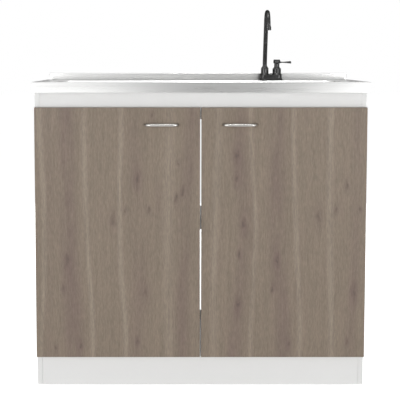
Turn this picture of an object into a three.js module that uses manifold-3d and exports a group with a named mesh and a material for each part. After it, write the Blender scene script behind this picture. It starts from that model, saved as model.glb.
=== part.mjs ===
// Kitchen sink unit: a two-door base cabinet of white and oak-faced board under a lay-on
// stainless steel sink top, with its waste, bottle trap and deck-mounted swivel tap.
// Millimetres. +X is right, +Y is to the back, +Z is up. The doors face -Y, and the origin is
// on the floor under the middle of the unit.
import * as THREE from "three";
import { mergeVertices } from "three/addons/utils/BufferGeometryUtils.js";
import Module from "manifold-3d";

const wasm = await Module();
wasm.setup();

// ---------------------------------------------------------------- Driving dimensions
// Fits
const seatGap = 0.3; // between pieces that rest on or in each other
const turnGap = 0.2; // around a pin or shaft that turns
const facetRoom = 1; // between large round pieces, whose facets cut their corners
const past = 1; // how far a cut runs past the face that it opens

// Sink top
const sinkWidth = 1000;
const sinkDepth = 500;
const deckHeight = 922.5; // floor to the top of the rim
const sheet = 1;
const apronHeight = 31.5;
const rimWidth = 10;
const ledgeDrop = 4; // rim down to the ledge
const recessDrop = 8; // ledge down to the drainer floor
const frontLedge = 60;
const sideLedge = 50;
const rearLedge = 75;
const ledgeCorner = 14;
const recessCorner = 40;
const splashRise = 21;
const splashThickness = 12;
const sinkCorner = 3;
const sinkEdge = 2.5; // rounding along the top of rim and splashback

// Drainer ribs
const ribCount = 7;
const ribWidth = 9;
const ribRise = 2;
const ribMargin = 34;
const ribFoot = 0.9;
const ribSlope = 2.7; // foot to crest, seen from above

// Bowl
const bowlWidth = 380;
const bowlLength = 325;
const bowlDrop = 150; // drainer floor down to the bowl floor
const bowlFromRight = 75;
const bowlCorner = 60;
const bowlFoot = 25; // rounding between wall and floor
const bowlDraft = 6;
const bowlFall = 3; // the floor falls to the drain
const bowlFlange = 12;

// Waste and basket
const drainRadius = 44;
const drainSeatRadius = 57;
const drainSeatDrop = 2;
const wasteWall = 1.5;
const wasteDepth = 46;
const wasteOutletRadius = 23;
const wasteOutletBore = 19;
const wasteOutletLength = 22;
const gasketThickness = 3;
const gasketWidth = 8;
const locknutHeight = 11;
const locknutWidth = 12;
const basketFootRadius = 29;
const basketWall = 1.2;
const basketHole = 2.6;
const basketPostRadius = 4;
const basketKnobRadius = 9;
const basketKnobHeight = 9;
const basketKnobEdge = 2;
const basketHoleRings = [
  { count: 6, radius: 13 },
  { count: 12, radius: 23.2 },
];
const stopperRadius = 24; // its shoulder
const stopperFootRadius = 19.2;
const stopperTopRadius = 7.2;
const stopperThickness = 5;

// Trap
const pipeRadius = 20;
const pipeWall = 2;
const nutHeight = 20;
const nutWall = 4;
const nutEnd = 3.5;
const nutLobes = 10;
const nutLobeDepth = 1.6;
const trapDrop = 26; // end of the waste outlet down to the trap's inlet collar
const trapRadius = 33;
const trapWall = 3;
const trapHeight = 84;
const trapCollarHeight = 15;
const trapCupDepth = 40;
const trapCupOverlap = 14;
const trapCupFootRadius = 23;
const trapCupSlope = 10; // height of the slope around the cup's foot
const trapDipDepth = 92; // how far the tailpiece hangs below the inlet collar's top
const trapOutletDrop = 34;
const trapOutletReach = 24;

// Boards
const panel = 15;
const sideOverhang = 5; // sink past the cabinet's sides
const backOverhang = 5;
const doorSetback = 20; // sink's front face back to the door's face
const doorThickness = 15;
const doorGap = 3; // door's back to the cabinet's front edges
const plinthHeight = 89;
const shelfBelowTrap = 23.5; // the trap's cup down to the shelf
const shelfBackGap = 1;
const frontRailHeight = 106;
const rearRailHeight = 100;
const rearRailRise = 28; // lower rear rail above the bottom panel
const doorFootGap = 0.5;
const railShown = 44.8; // rail in sight between apron and doors
const doorMiddleGap = 4;

// Floor glides and shelf pins
const glideHeight = 2;
const glideLength = 40;
const glideWidth = 12;
const glideInset = 45;
const glideEdge = 0.5;
const glidePegRadius = 2.5;
const glidePegLength = 9;
const shelfPinRadius = 2.5;
const shelfPinDepth = 8;
const shelfPinReach = 9;
const shelfPinFlange = 4.5;
const shelfPinFlangeThickness = 1.5;
const shelfPinInset = 60;

// Handles
const handleSpacing = 96;
const handleRadius = 4;
const handleReach = 30;
const handleBend = 13;
const handleBelowTop = 51.2;
const handleFromEdge = 114;
const screwRadius = 2;
const screwBite = 10;
const screwHeadRadius = 4;
const screwHeadHeight = 1.8;
const screwHeadTop = 0.8; // a screw head's top as a share of its foot

// Hinges, two to a door; x inwards from the cabinet's side, y back from its front edge
const hingeFromEnd = 100;
const hingeOpening = 17.5; // bore radius in the door
const hingeTab = 3;
const hingeCupDepth = 11.7;
const hingeCupWall = 1;
const hingePinX = 7;
const hingePinBehind = 8; // door's back face forward to the pin
const hingePinRadius = 0.9;
const hingeKnuckle = 1.8;
const hingeKnuckleWidth = 8;
const hingeFlangeLength = 62;
const hingeFlangeWidth = 34;
const hingeFlangeThickness = 1;
const hingeFlangeCorner = 5;
const hingeScrewX = 6; // cup's centre to the flange's screws
const hingeScrewRadius = 3.6;
const hingeScrewHeight = 0.7;
const hingeScrewSunk = 0.5;
const hingeScrewSpacing = 48;
const hingeArmThickness = 1.8;
const hingeArmWidth = 14;
const hingeArmLength = 54;
const hingeArmStart = 8; // cabinet's front edge back to the arm's wide part
const hingeArmBody = 3.4;
const hingePlateThickness = 3;
const hingePlateFrom = 22;
const hingePlateLength = 30;
const hingePlateWidth = 20;
const hingeWingSpan = 50;
const hingeWingLength = 11;
const hingeWingThickness = 1.8;
const hingePlateScrew = 37; // cabinet's front edge to the plate's screws
const hingePlateScrewSpacing = 32;

// Tap
const tapFromRight = 278; // sink's right side to the spout's axis
const tapFromBack = 45;
const tapSpread = 40; // spout's axis to the handle's axis
const tapBaseWidth = 75;
const tapBaseDepth = 50;
const tapBaseHeight = 18;
const tapBaseCorner = 14;
const tapBaseSkirt = 3.6; // height of the base's upright foot
const tapBaseTaper = 2.8;
const tapBaseEdge = 1.8;
const tapGasket = 1.5;
const tapGasketInset = 1;
const tapHoleRadius = 12;
const tapShankRadius = 10.3;
const tapShankLength = 52;
const tapShankBore = 6;
const tapNutRadius = 18;
const tapNutHeight = 9;
const tapWasherThickness = 2;
const tapWasherRadius = 19;
const spoutColumnRadius = 12.5;
const valveColumnRadius = 14;
const columnHeight = 18;
const columnFlare = 2;
const columnFlareHeight = 3;
const collarHeight = 9;
const collarFoot = 2.2;
const collarLip = 1.2;
const spoutRadius = 7.1;
const spoutWall = 1.6;
const spoutSocket = 15;
const spoutRise = 22; // collar's foot up to the bend that leans the riser forward
const spoutReach = 140;
const spoutArch = 48;
const spoutStraight = 2; // collar's top up to where the bend starts
const spoutTop = 222.5; // ledge up to the arch's centre line
const aeratorRadius = 9;
const aeratorHeight = 14.5;
const aeratorOverlap = 7;
const aeratorUp = 3; // level of the arch's centre up to the aerator's top
const aeratorEdge = 0.8;
const aeratorShoulder = 4.4;
const aeratorMouth = 6.6;
const aeratorMouthDepth = 2.5;
const bonnetHeight = 17;
const bonnetRadius = 8.7;
const bonnetShoulder = 5;
const bonnetFoot = 1;
const bonnetFillet = 0.5;
const spindleRadius = 4;
const spindleSink = 12;
const spindleRise = 8;
const hubRadius = 11.4;
const hubHeight = 14;
const hubFlare = 3;
const hubEdge = 2.5;
const hubEdgeInset = 1.4;
const leverLength = 48;
const leverAbove = 5; // hub's foot up to the lever's axis
const leverRootRadius = 3.2;
const leverNeckRadius = 2.1;
const leverTipRadius = 4.1;
const leverTipEnd = 2.5;
const leverRootLength = 7;
const leverTipLength = 10.5; // slope up to the tip
const leverTipEdge = 3;
const leverPegRadius = 2;
const leverPegLength = 5;

// Facets
const roundSides = 28;
const pipeSides = 20;
const smallSides = 12;
const tinySides = 8;
const hexSides = 6;
const cornerSteps = 6;
const plateCornerSteps = 4;
const smallCornerSteps = 3;
const ribEndSteps = 2;
const arcSteps = 4;
const barSteps = 36;
const lobeSteps = 4;

// ---------------------------------------------------------------- Levels and places
const apronBottom = deckHeight - apronHeight;
const ledgeZ = deckHeight - ledgeDrop;
const recessZ = ledgeZ - recessDrop;
const splashY = sinkDepth - splashThickness;
const recessHalfX = sinkWidth / 2 - sideLedge;
const recessHalfY = (sinkDepth - rearLedge - frontLedge) / 2;
const recessY = frontLedge + recessHalfY;
const bowlX = sinkWidth / 2 - bowlFromRight - bowlWidth / 2;
const bowlY = recessY;
const bowlFloorZ = recessZ - bowlDrop;
const bowlDrainZ = bowlFloorZ - bowlFall;
const drainSeatZ = bowlDrainZ - drainSeatDrop;

const wasteFlangeZ = drainSeatZ + seatGap;
const wasteFloorZ = wasteFlangeZ - wasteDepth;
const wasteEndZ = wasteFloorZ - wasteWall - wasteOutletLength;
const trapCollarTop = wasteEndZ - trapDrop;
const trapTopZ = trapCollarTop - trapCollarHeight - nutEnd;
const trapFootZ = trapTopZ - trapHeight;
const trapCupSeatZ = trapFootZ - seatGap;
const trapCupFootZ = trapCupSeatZ - trapCupDepth;
const shelfTop = trapCupFootZ - shelfBelowTrap;

const cabinetHalf = sinkWidth / 2 - sideOverhang;
const doorFaceY = doorSetback;
const doorBackY = doorFaceY + doorThickness;
const cabinetFront = doorBackY + doorGap;
const cabinetBack = sinkDepth - backOverhang;
const cabinetTop = ledgeZ - sheet - seatGap;
const insideHalf = cabinetHalf - panel - seatGap;
const bottomPanelZ = glideHeight + plinthHeight;
const doorBottom = bottomPanelZ + doorFootGap;
const doorTop = apronBottom - railShown;
const handleZ = doorTop - handleBelowTop;
const hingeHeights = { lower: doorBottom + hingeFromEnd, upper: doorTop - hingeFromEnd };
const hingePinY = -doorGap - hingePinBehind;

const tapX = sinkWidth / 2 - tapFromRight;
const tapY = sinkDepth - tapFromBack;
const tapBaseX = tapX + tapSpread / 2 + (valveColumnRadius - spoutColumnRadius) / 2;
const tapFootZ = ledgeZ + tapGasket + 2 * seatGap;
const columnZ = tapFootZ + tapBaseHeight;
const collarZ = columnZ + columnHeight + seatGap;
const hubZ = collarZ + bonnetHeight + seatGap;
const archZ = ledgeZ + spoutTop - spoutArch;
const aeratorZ = archZ + aeratorUp - aeratorHeight;

const frontmostY = doorFaceY - handleReach;
const originY = (frontmostY + sinkDepth) / 2;
const bendShift = Math.tan(Math.PI / 8); // how far a 45 degree bend moves per unit of thickness

// ---------------------------------------------------------------- Finishes
const finish = (color, roughness, metalness) =>
  new THREE.MeshStandardMaterial({ color, roughness, metalness });
const whiteBoard = finish(0xdfdfde, 0.5, 0);
const oakBoard = finish(0x887b6f, 0.6, 0);
const sinkSteel = finish(0xbcbdbe, 0.28, 1);
const nickel = finish(0xb7b5b0, 0.3, 1);
const zinc = finish(0xa9aaa8, 0.35, 1);
const blackMetal = finish(0x3d3d3e, 0.38, 0.6);
const whitePlastic = finish(0xe9e9e6, 0.45, 0);
const blackRubber = finish(0x262626, 0.8, 0);

// ---------------------------------------------------------------- Shaping helpers
const unit = new THREE.Group();
unit.position.y = -originY;

// Puts a geometry into a group as its own named mesh.
function add(group, name, geometry, material, x = 0, y = 0, z = 0) {
  const mesh = new THREE.Mesh(geometry, material.clone());
  mesh.name = name;
  mesh.position.set(x, y, z);
  group.add(mesh);
  return mesh;
}

// A nested group at a place in the unit.
function groupAt(x, y, z) {
  const group = new THREE.Group();
  group.position.set(x, y, z);
  unit.add(group);
  return group;
}

function toSolid(geometry) {
  const bare = geometry.clone();
  bare.deleteAttribute("normal");
  bare.deleteAttribute("uv");
  const merged = mergeVertices(bare, 1e-4);
  const index = merged.index.array;
  const kept = [];
  for (let i = 0; i < index.length; i += 3) {
    const [a, b, c] = index.slice(i, i + 3);
    if (a !== b && b !== c && c !== a) kept.push(a, b, c);
  }
  const vertProperties = merged.attributes.position.array;
  const triVerts = Uint32Array.from(kept);
  return new wasm.Manifold(new wasm.Mesh({ numProp: 3, vertProperties, triVerts }));
}

function toGeometry(solid) {
  const mesh = solid.getMesh();
  const shared = new THREE.BufferGeometry();
  shared.setAttribute("position", new THREE.BufferAttribute(mesh.vertProperties, 3));
  shared.setIndex(new THREE.BufferAttribute(mesh.triVerts, 1));
  const faceted = shared.toNonIndexed();
  faceted.computeVertexNormals();
  return faceted;
}

const join = (first, ...others) =>
  toGeometry(others.reduce((sum, other) => sum.add(toSolid(other)), toSolid(first)));
const cut = (first, ...tools) =>
  toGeometry(tools.reduce((rest, tool) => rest.subtract(toSolid(tool)), toSolid(first)));
const common = (first, other) => toGeometry(toSolid(first).intersect(toSolid(other)));

// A box between two corners.
function box([x0, y0, z0], [x1, y1, z1]) {
  const geometry = new THREE.BoxGeometry(x1 - x0, y1 - y0, z1 - z0);
  return geometry.translate((x0 + x1) / 2, (y0 + y1) / 2, (z0 + z1) / 2);
}

// A profile of [radius, z] pairs turned about Z: up the outside, then down the inside.
function turned(profile, sides) {
  const points = profile.map(([radius, z]) => new THREE.Vector2(radius, z));
  return new THREE.LatheGeometry(points, sides).rotateX(Math.PI / 2);
}

const rod = (radius, from, to, sides) =>
  turned([[0, from], [radius, from], [radius, to], [0, to]], sides);
const tube = (outer, inner, from, to, sides) =>
  turned([[inner, from], [outer, from], [outer, to], [inner, to], [inner, from]], sides);
const pointX = (geometry) => geometry.rotateY(Math.PI / 2);
const pointY = (geometry) => geometry.rotateX(-Math.PI / 2);

// A rounded rectangle at height z, as a ring of points.
function ring(halfX, halfY, radius, z, steps = cornerSteps) {
  const points = [];
  for (let corner = 0; corner < 4; corner++) {
    const signX = corner === 0 || corner === 3 ? 1 : -1;
    const signY = corner < 2 ? 1 : -1;
    for (let step = 0; step <= steps; step++) {
      const angle = ((corner + step / steps) * Math.PI) / 2;
      const x = signX * (halfX - radius) + radius * Math.cos(angle);
      const y = signY * (halfY - radius) + radius * Math.sin(angle);
      points.push([x, y, z]);
    }
  }
  return points;
}

// A skin over rings of points. It is capped at both ends, or its last ring meets its first.
function loft(rings, looped = false) {
  const count = rings[0].length;
  const positions = rings.flat(2);
  const index = [];
  const bands = looped ? rings.length : rings.length - 1;
  for (let band = 0; band < bands; band++) {
    const low = band * count;
    const high = ((band + 1) % rings.length) * count;
    for (let i = 0; i < count; i++) {
      const next = (i + 1) % count;
      index.push(low + i, low + next, high + next);
      index.push(low + i, high + next, high + i);
    }
  }
  if (!looped) {
    const last = (rings.length - 1) * count;
    for (let i = 1; i < count - 1; i++) {
      index.push(0, i + 1, i);
      index.push(last, last + i, last + i + 1);
    }
  }
  const geometry = new THREE.BufferGeometry();
  geometry.setAttribute("position", new THREE.Float32BufferAttribute(positions, 3));
  geometry.setIndex(index);
  return geometry;
}

// A round bar, or a pipe where a bore is given, along a path.
function bent(path, radius, sides, steps, bore = 0) {
  const section = new THREE.Shape();
  section.absarc(0, 0, radius, 0, 2 * Math.PI);
  if (bore > 0) {
    const hole = new THREE.Path();
    hole.absarc(0, 0, bore, 0, 2 * Math.PI);
    section.holes.push(hole);
  }
  const options = { steps, curveSegments: sides / 2, extrudePath: path };
  return new THREE.ExtrudeGeometry(section, options);
}

// ---------------------------------------------------------------- Cabinet
// A board between two corners, with holes given in the unit's own coordinates.
function addBoard(name, material, low, high, holes = []) {
  const centre = low.map((value, axis) => (value + high[axis]) / 2);
  const board = box(low, high);
  const shaped = holes.length ? cut(board, ...holes) : board;
  const local = shaped.translate(-centre[0], -centre[1], -centre[2]);
  return add(unit, name, local, material, ...centre);
}

const sides = { left: -1, right: 1 };
const shelfPinZ = shelfTop - panel - seatGap - shelfPinRadius;
const shelfPinPlaces = {
  front: cabinetFront + shelfPinInset,
  rear: cabinetBack - shelfPinInset,
};
const glidePlaces = {
  front: cabinetFront + glideInset,
  rear: cabinetBack - glideInset,
};

// A bore in a side panel's inner face for a shelf pin.
function shelfPinBore(side, y) {
  const depth = shelfPinDepth + seatGap;
  const bore = pointX(rod(shelfPinRadius + turnGap, 0, depth + past, tinySides));
  const mouth = cabinetHalf - panel - past;
  if (side < 0) bore.rotateZ(Math.PI);
  return bore.translate(side * mouth, y, shelfPinZ);
}

function glideBore(side, y) {
  const top = glideHeight + glidePegLength + seatGap;
  const bore = rod(glidePegRadius + turnGap, glideHeight - past, top, tinySides);
  return bore.translate(side * (cabinetHalf - panel / 2), y, 0);
}

for (const [name, side] of Object.entries(sides)) {
  const outer = side * cabinetHalf;
  const inner = side * (cabinetHalf - panel);
  const bores = [
    ...Object.values(shelfPinPlaces).map((y) => shelfPinBore(side, y)),
    ...Object.values(glidePlaces).map((y) => glideBore(side, y)),
  ];
  const low = [Math.min(outer, inner), cabinetFront, glideHeight + seatGap];
  const high = [Math.max(outer, inner), cabinetBack, cabinetTop];
  addBoard(`side_panel_${name}`, whiteBoard, low, high, bores);
}

addBoard(
  "bottom_panel",
  whiteBoard,
  [-insideHalf, cabinetFront, bottomPanelZ],
  [insideHalf, cabinetBack - panel - seatGap, bottomPanelZ + panel],
);
addBoard(
  "shelf",
  whiteBoard,
  [-insideHalf, cabinetFront, shelfTop - panel],
  [insideHalf, cabinetBack - shelfBackGap, shelfTop],
);
addBoard(
  "front_rail",
  whiteBoard,
  [-insideHalf, cabinetFront, cabinetTop - frontRailHeight],
  [insideHalf, cabinetFront + panel, cabinetTop],
);
addBoard(
  "plinth_board",
  whiteBoard,
  [-insideHalf, cabinetFront, glideHeight],
  [insideHalf, cabinetFront + panel, bottomPanelZ - seatGap],
);
addBoard(
  "rear_top_rail",
  whiteBoard,
  [-insideHalf, cabinetBack - panel, cabinetTop - rearRailHeight],
  [insideHalf, cabinetBack, cabinetTop],
);
const rearRailTop = bottomPanelZ + panel + rearRailRise;
addBoard(
  "rear_bottom_rail",
  whiteBoard,
  [-insideHalf, cabinetBack - panel, rearRailTop - rearRailHeight],
  [insideHalf, cabinetBack, rearRailTop],
);

// Floor glides: a pad with a peg that is pressed into the side panel's foot.
for (const [sideName, side] of Object.entries(sides)) {
  for (const [placeName, y] of Object.entries(glidePlaces)) {
    const rings = [
      [glideEdge, 0],
      [0, glideEdge],
      [0, glideHeight],
    ].map(([inset, z]) => {
      const halfWidth = glideWidth / 2 - inset;
      return ring(halfWidth, glideLength / 2 - inset, halfWidth, z, smallCornerSteps);
    });
    const pegFrom = glideHeight / 2;
    const peg = rod(glidePegRadius, pegFrom, glideHeight + glidePegLength, tinySides);
    const glide = join(loft(rings), peg);
    const x = side * (cabinetHalf - panel / 2);
    add(unit, `floor_glide_${sideName}_${placeName}`, glide, whitePlastic, x, y, 0);
  }
}

// Shelf pins: a peg in the side panel, a flange, and a flat-topped nose under the shelf.
for (const [sideName, side] of Object.entries(sides)) {
  for (const [placeName, y] of Object.entries(shelfPinPlaces)) {
    const flangeEnd = shelfPinFlangeThickness + seatGap;
    const pin = pointX(
      turned(
        [
          [0, -shelfPinDepth],
          [shelfPinRadius, -shelfPinDepth],
          [shelfPinRadius, seatGap],
          [shelfPinFlange, seatGap],
          [shelfPinFlange, flangeEnd],
          [shelfPinRadius, flangeEnd],
          [shelfPinRadius, flangeEnd + shelfPinReach],
          [0, flangeEnd + shelfPinReach],
        ],
        tinySides,
      ),
    );
    const flat = box(
      [-shelfPinDepth - past, -shelfPinFlange - past, shelfPinRadius],
      [flangeEnd + shelfPinReach + past, shelfPinFlange + past, shelfPinFlange + past],
    );
    const place = groupAt(side * (cabinetHalf - panel), y, shelfPinZ);
    place.rotation.z = side > 0 ? Math.PI : 0;
    add(place, `shelf_pin_${sideName}_${placeName}`, cut(pin, flat), zinc);
  }
}

// ---------------------------------------------------------------- Doors and handles
const doorInnerEdge = doorMiddleGap / 2;
const handleX = doorInnerEdge + handleFromEdge;

function hingeBore(side, z) {
  const bore = pointY(rod(hingeOpening, -hingeCupDepth - seatGap, past, roundSides));
  const x = side * (cabinetHalf - hingeTab - hingeOpening);
  return bore.translate(x, doorBackY, z);
}

function screwBore(x) {
  const bore = pointY(rod(screwRadius + seatGap, -past, doorThickness + past, tinySides));
  return bore.translate(x, doorFaceY, handleZ);
}

for (const [name, side] of Object.entries(sides)) {
  const outer = side * cabinetHalf;
  const inner = side * doorInnerEdge;
  addBoard(
    `door_${name}`,
    oakBoard,
    [Math.min(outer, inner), doorFaceY, doorBottom],
    [Math.max(outer, inner), doorBackY, doorTop],
    [
      ...Object.values(hingeHeights).map((z) => hingeBore(side, z)),
      screwBore(side * handleX - handleSpacing / 2),
      screwBore(side * handleX + handleSpacing / 2),
    ],
  );
}

// A bow handle: a round bar that leaves the door, bends twice and comes back to it.
function handleBow() {
  const half = handleSpacing / 2;
  const front = -(handleReach - handleRadius);
  const corner = (x, y) => new THREE.Vector3(x, y, 0);
  const bow = new THREE.CurvePath();
  const legTop = corner(-half, front + handleBend);
  const barStart = corner(-half + handleBend, front);
  bow.add(new THREE.LineCurve3(corner(-half, -seatGap), legTop));
  bow.add(new THREE.QuadraticBezierCurve3(legTop, corner(-half, front), barStart));
  const barEnd = corner(half - handleBend, front);
  const legBack = corner(half, front + handleBend);
  bow.add(new THREE.LineCurve3(barStart, barEnd));
  bow.add(new THREE.QuadraticBezierCurve3(barEnd, corner(half, front), legBack));
  bow.add(new THREE.LineCurve3(legBack, corner(half, -seatGap)));
  const bar = bent(bow, handleRadius, smallSides, barSteps);
  const bore = () => pointY(rod(screwRadius + turnGap, -screwBite - seatGap, past, tinySides));
  return cut(bar, bore().translate(-half, 0, 0), bore().translate(half, 0, 0));
}

// A pan-head screw from the door's back face into a handle leg.
function handleScrew() {
  const headFrom = doorThickness + seatGap;
  const headTo = headFrom + screwHeadHeight;
  return pointY(
    turned(
      [
        [0, -screwBite],
        [screwRadius, -screwBite],
        [screwRadius, headFrom],
        [screwHeadRadius, headFrom],
        [screwHeadRadius * screwHeadTop, headTo],
        [0, headTo],
      ],
      tinySides,
    ),
  );
}

for (const [name, side] of Object.entries(sides)) {
  add(unit, `handle_${name}`, handleBow(), nickel, side * handleX, doorFaceY, handleZ);
  for (const [end, offset] of Object.entries({ outer: side, inner: -side })) {
    const x = side * handleX + (offset * handleSpacing) / 2;
    add(unit, `handle_screw_${name}_${end}`, handleScrew(), zinc, x, doorFaceY, handleZ);
  }
}

// ---------------------------------------------------------------- Hinges
// A screw head standing on z = 0 and sunk a little into what it holds.
function screwHead() {
  const top = hingeScrewRadius * screwHeadTop;
  const profile = [
    [0, -hingeScrewSunk],
    [hingeScrewRadius, -hingeScrewSunk],
    [top, hingeScrewHeight],
    [0, hingeScrewHeight],
  ];
  return turned(profile, tinySides);
}

function hingeCup() {
  const centreX = hingeTab + hingeOpening;
  const outer = hingeOpening - seatGap;
  const inner = outer - hingeCupWall;
  const faceY = -doorGap + seatGap;
  const footY = -doorGap - hingeCupDepth;
  const shell = pointY(
    turned(
      [
        [0, footY],
        [outer, footY],
        [outer, faceY + hingeFlangeThickness],
        [inner, faceY + hingeFlangeThickness],
        [inner, footY + hingeCupWall],
        [0, footY + hingeCupWall],
      ],
      roundSides,
    ),
  ).translate(centreX, 0, 0);
  const flangeHalf = hingeFlangeWidth / 2;
  const plate = loft(
    [faceY, faceY + hingeFlangeThickness].map((level) =>
      ring(flangeHalf, hingeFlangeLength / 2, hingeFlangeCorner, level, smallCornerSteps),
    ),
  );
  const flange = pointY(plate).translate(hingeTab + flangeHalf, 0, 0);
  const mouth = pointY(rod(inner, footY + hingeCupWall, past, roundSides));
  const ringed = cut(flange, mouth.translate(centreX, 0, 0));
  const chord = Math.sqrt(inner ** 2 - (centreX - hingePinX) ** 2);
  const pinHalf = chord + hingeCupWall / 2;
  const pin = rod(hingePinRadius, -pinHalf, pinHalf, tinySides);
  const heads = [-1, 1].map((end) =>
    pointY(screwHead()).translate(
      centreX + hingeScrewX,
      faceY + hingeFlangeThickness,
      (end * hingeScrewSpacing) / 2,
    ),
  );
  return join(shell, ringed, pin.translate(hingePinX, hingePinY, 0), ...heads);
}

const hingeArmX = panel + seatGap + hingePlateThickness + seatGap;

function hingeArm() {
  const half = hingeKnuckleWidth / 2;
  const thick = hingeArmThickness / 2;
  const hookEnd = hingeArmX + hingeArmThickness;
  const knuckle = rod(hingeKnuckle, -half, half, smallSides);
  const hook = box([hingePinX, hingePinY - thick, -half], [hookEnd, hingePinY + thick, half]);
  const neckEnd = hingeArmStart + hingeArmThickness;
  const neck = box([hingeArmX, hingePinY - thick, -half], [hookEnd, neckEnd, half]);
  const body = box(
    [hingeArmX, hingeArmStart, -hingeArmWidth / 2],
    [hingeArmX + hingeArmBody, hingeArmLength, hingeArmWidth / 2],
  );
  const screw = pointX(screwHead());
  screw.translate(hingeArmX + hingeArmBody, hingePlateScrew, 0);
  const bore = rod(hingePinRadius + turnGap, -half - past, half + past, tinySides);
  const arm = join(knuckle.translate(hingePinX, hingePinY, 0), hook, neck, body, screw);
  return cut(arm, bore.translate(hingePinX, hingePinY, 0));
}

function hingePlate() {
  const foot = panel + seatGap;
  const spine = box(
    [foot, hingePlateFrom, -hingePlateWidth / 2],
    [foot + hingePlateThickness, hingePlateFrom + hingePlateLength, hingePlateWidth / 2],
  );
  const wings = box(
    [foot, hingePlateScrew - hingeWingLength / 2, -hingeWingSpan / 2],
    [foot + hingeWingThickness, hingePlateScrew + hingeWingLength / 2, hingeWingSpan / 2],
  );
  const heads = [-1, 1].map((end) =>
    pointX(screwHead()).translate(
      foot + hingeWingThickness,
      hingePlateScrew,
      (end * hingePlateScrewSpacing) / 2,
    ),
  );
  return join(spine, wings, ...heads);
}

for (const [sideName, side] of Object.entries(sides)) {
  for (const [levelName, z] of Object.entries(hingeHeights)) {
    const place = groupAt(side * cabinetHalf, cabinetFront, z);
    place.scale.x = -side;
    const ending = `${sideName}_${levelName}`;
    add(place, `hinge_cup_${ending}`, hingeCup(), zinc);
    add(place, `hinge_arm_${ending}`, hingeArm(), zinc);
    add(place, `hinge_plate_${ending}`, hingePlate(), zinc);
  }
}

// ---------------------------------------------------------------- Sink deck
// Moves a loft's rings so that they span from frontY to rearY.
function band(frontY, rearY, halfX, radius, z) {
  const halfY = (rearY - frontY) / 2;
  return ring(halfX, halfY, radius, z).map(([x, y, level]) => [x, y + frontY + halfY, level]);
}

// A block with rounded corners and a rounded top edge, drawn in by a thickness.
function foldedBlock(frontY, top, inset) {
  const halfX = sinkWidth / 2 - inset;
  const front = frontY + inset;
  const rear = sinkDepth - inset;
  const corner = sinkCorner - inset;
  const edge = sinkEdge - inset;
  const rings = [band(front, rear, halfX, corner, apronBottom - inset)];
  for (let step = 0; step <= arcSteps; step++) {
    const angle = ((step / arcSteps) * Math.PI) / 2;
    const drawnIn = edge * (1 - Math.cos(angle));
    const level = top - inset - edge * (1 - Math.sin(angle));
    const radius = Math.max(corner - drawnIn, corner / 4);
    rings.push(band(front + drawnIn, rear - drawnIn, halfX - drawnIn, radius, level));
  }
  return loft(rings);
}

const aboveSink = deckHeight + splashRise + ledgeCorner;

// The air over the ledge, or the same grown by a thickness. Its rear is cut off straight.
function ledgeAir(thickness) {
  const shift = thickness * bendShift;
  const rear = sinkDepth + 2 * ledgeCorner;
  const rings = [
    [rimWidth + ledgeDrop - shift, ledgeZ - thickness],
    [rimWidth - shift, deckHeight - thickness],
    [rimWidth - shift, aboveSink],
  ].map(([from, z]) => band(from, rear, sinkWidth / 2 - from, ledgeCorner, z));
  const keep = box(
    [-sinkWidth, 0, ledgeZ - thickness - past],
    [sinkWidth, splashY + thickness, aboveSink + past],
  );
  return common(loft(rings), keep);
}

// The air in the drainer recess, or the same grown by a thickness.
function recessAir(thickness) {
  const shift = thickness * bendShift;
  const rings = [
    [recessDrop - shift, recessZ - thickness],
    [-shift, ledgeZ - thickness],
    [-shift, deckHeight],
  ].map(([inset, z]) =>
    ring(recessHalfX - inset, recessHalfY - inset, recessCorner - inset, z),
  );
  return loft(rings).translate(0, recessY, 0);
}

function bowlOpening() {
  const span = [recessZ - recessDrop, deckHeight];
  const rings = span.map((z) => ring(bowlWidth / 2, bowlLength / 2, bowlCorner, z));
  return loft(rings).translate(bowlX, bowlY, 0);
}

// Pressed ribs that drain towards the bowl.
function drainerRibs() {
  const from = -recessHalfX + recessDrop + ribMargin;
  const to = bowlX - bowlWidth / 2 - ribMargin;
  const half = (to - from) / 2;
  const spread = 2 * (recessHalfY - recessDrop - ribMargin);
  const ribs = [];
  for (let i = 0; i < ribCount; i++) {
    const y = recessY - spread / 2 + (i * spread) / (ribCount - 1);
    const rings = [
      [0, -sheet / 2],
      [ribFoot, ribRise / 2],
      [ribSlope, ribRise],
    ].map(([inset, rise]) => {
      const halfWidth = ribWidth / 2 - inset;
      return ring(half - inset, halfWidth, halfWidth, recessZ + rise, ribEndSteps);
    });
    ribs.push(loft(rings).translate((from + to) / 2, y, 0));
  }
  return ribs;
}

function sinkDeck() {
  const outside = join(
    foldedBlock(0, deckHeight, 0),
    foldedBlock(splashY, deckHeight + splashRise, 0),
  );
  const inside = join(
    foldedBlock(0, deckHeight, sheet),
    foldedBlock(splashY, deckHeight + splashRise, sheet),
  );
  const hollow = cut(inside, ledgeAir(sheet), recessAir(sheet));
  const tapHole = rod(tapHoleRadius, ledgeZ - ledgeDrop, deckHeight, pipeSides);
  tapHole.translate(tapBaseX, tapY, 0);
  const skin = cut(outside, ledgeAir(0), recessAir(0), hollow, bowlOpening(), tapHole);
  return join(skin, ...drainerRibs());
}

add(unit, "sink_deck", sinkDeck(), sinkSteel);

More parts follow.
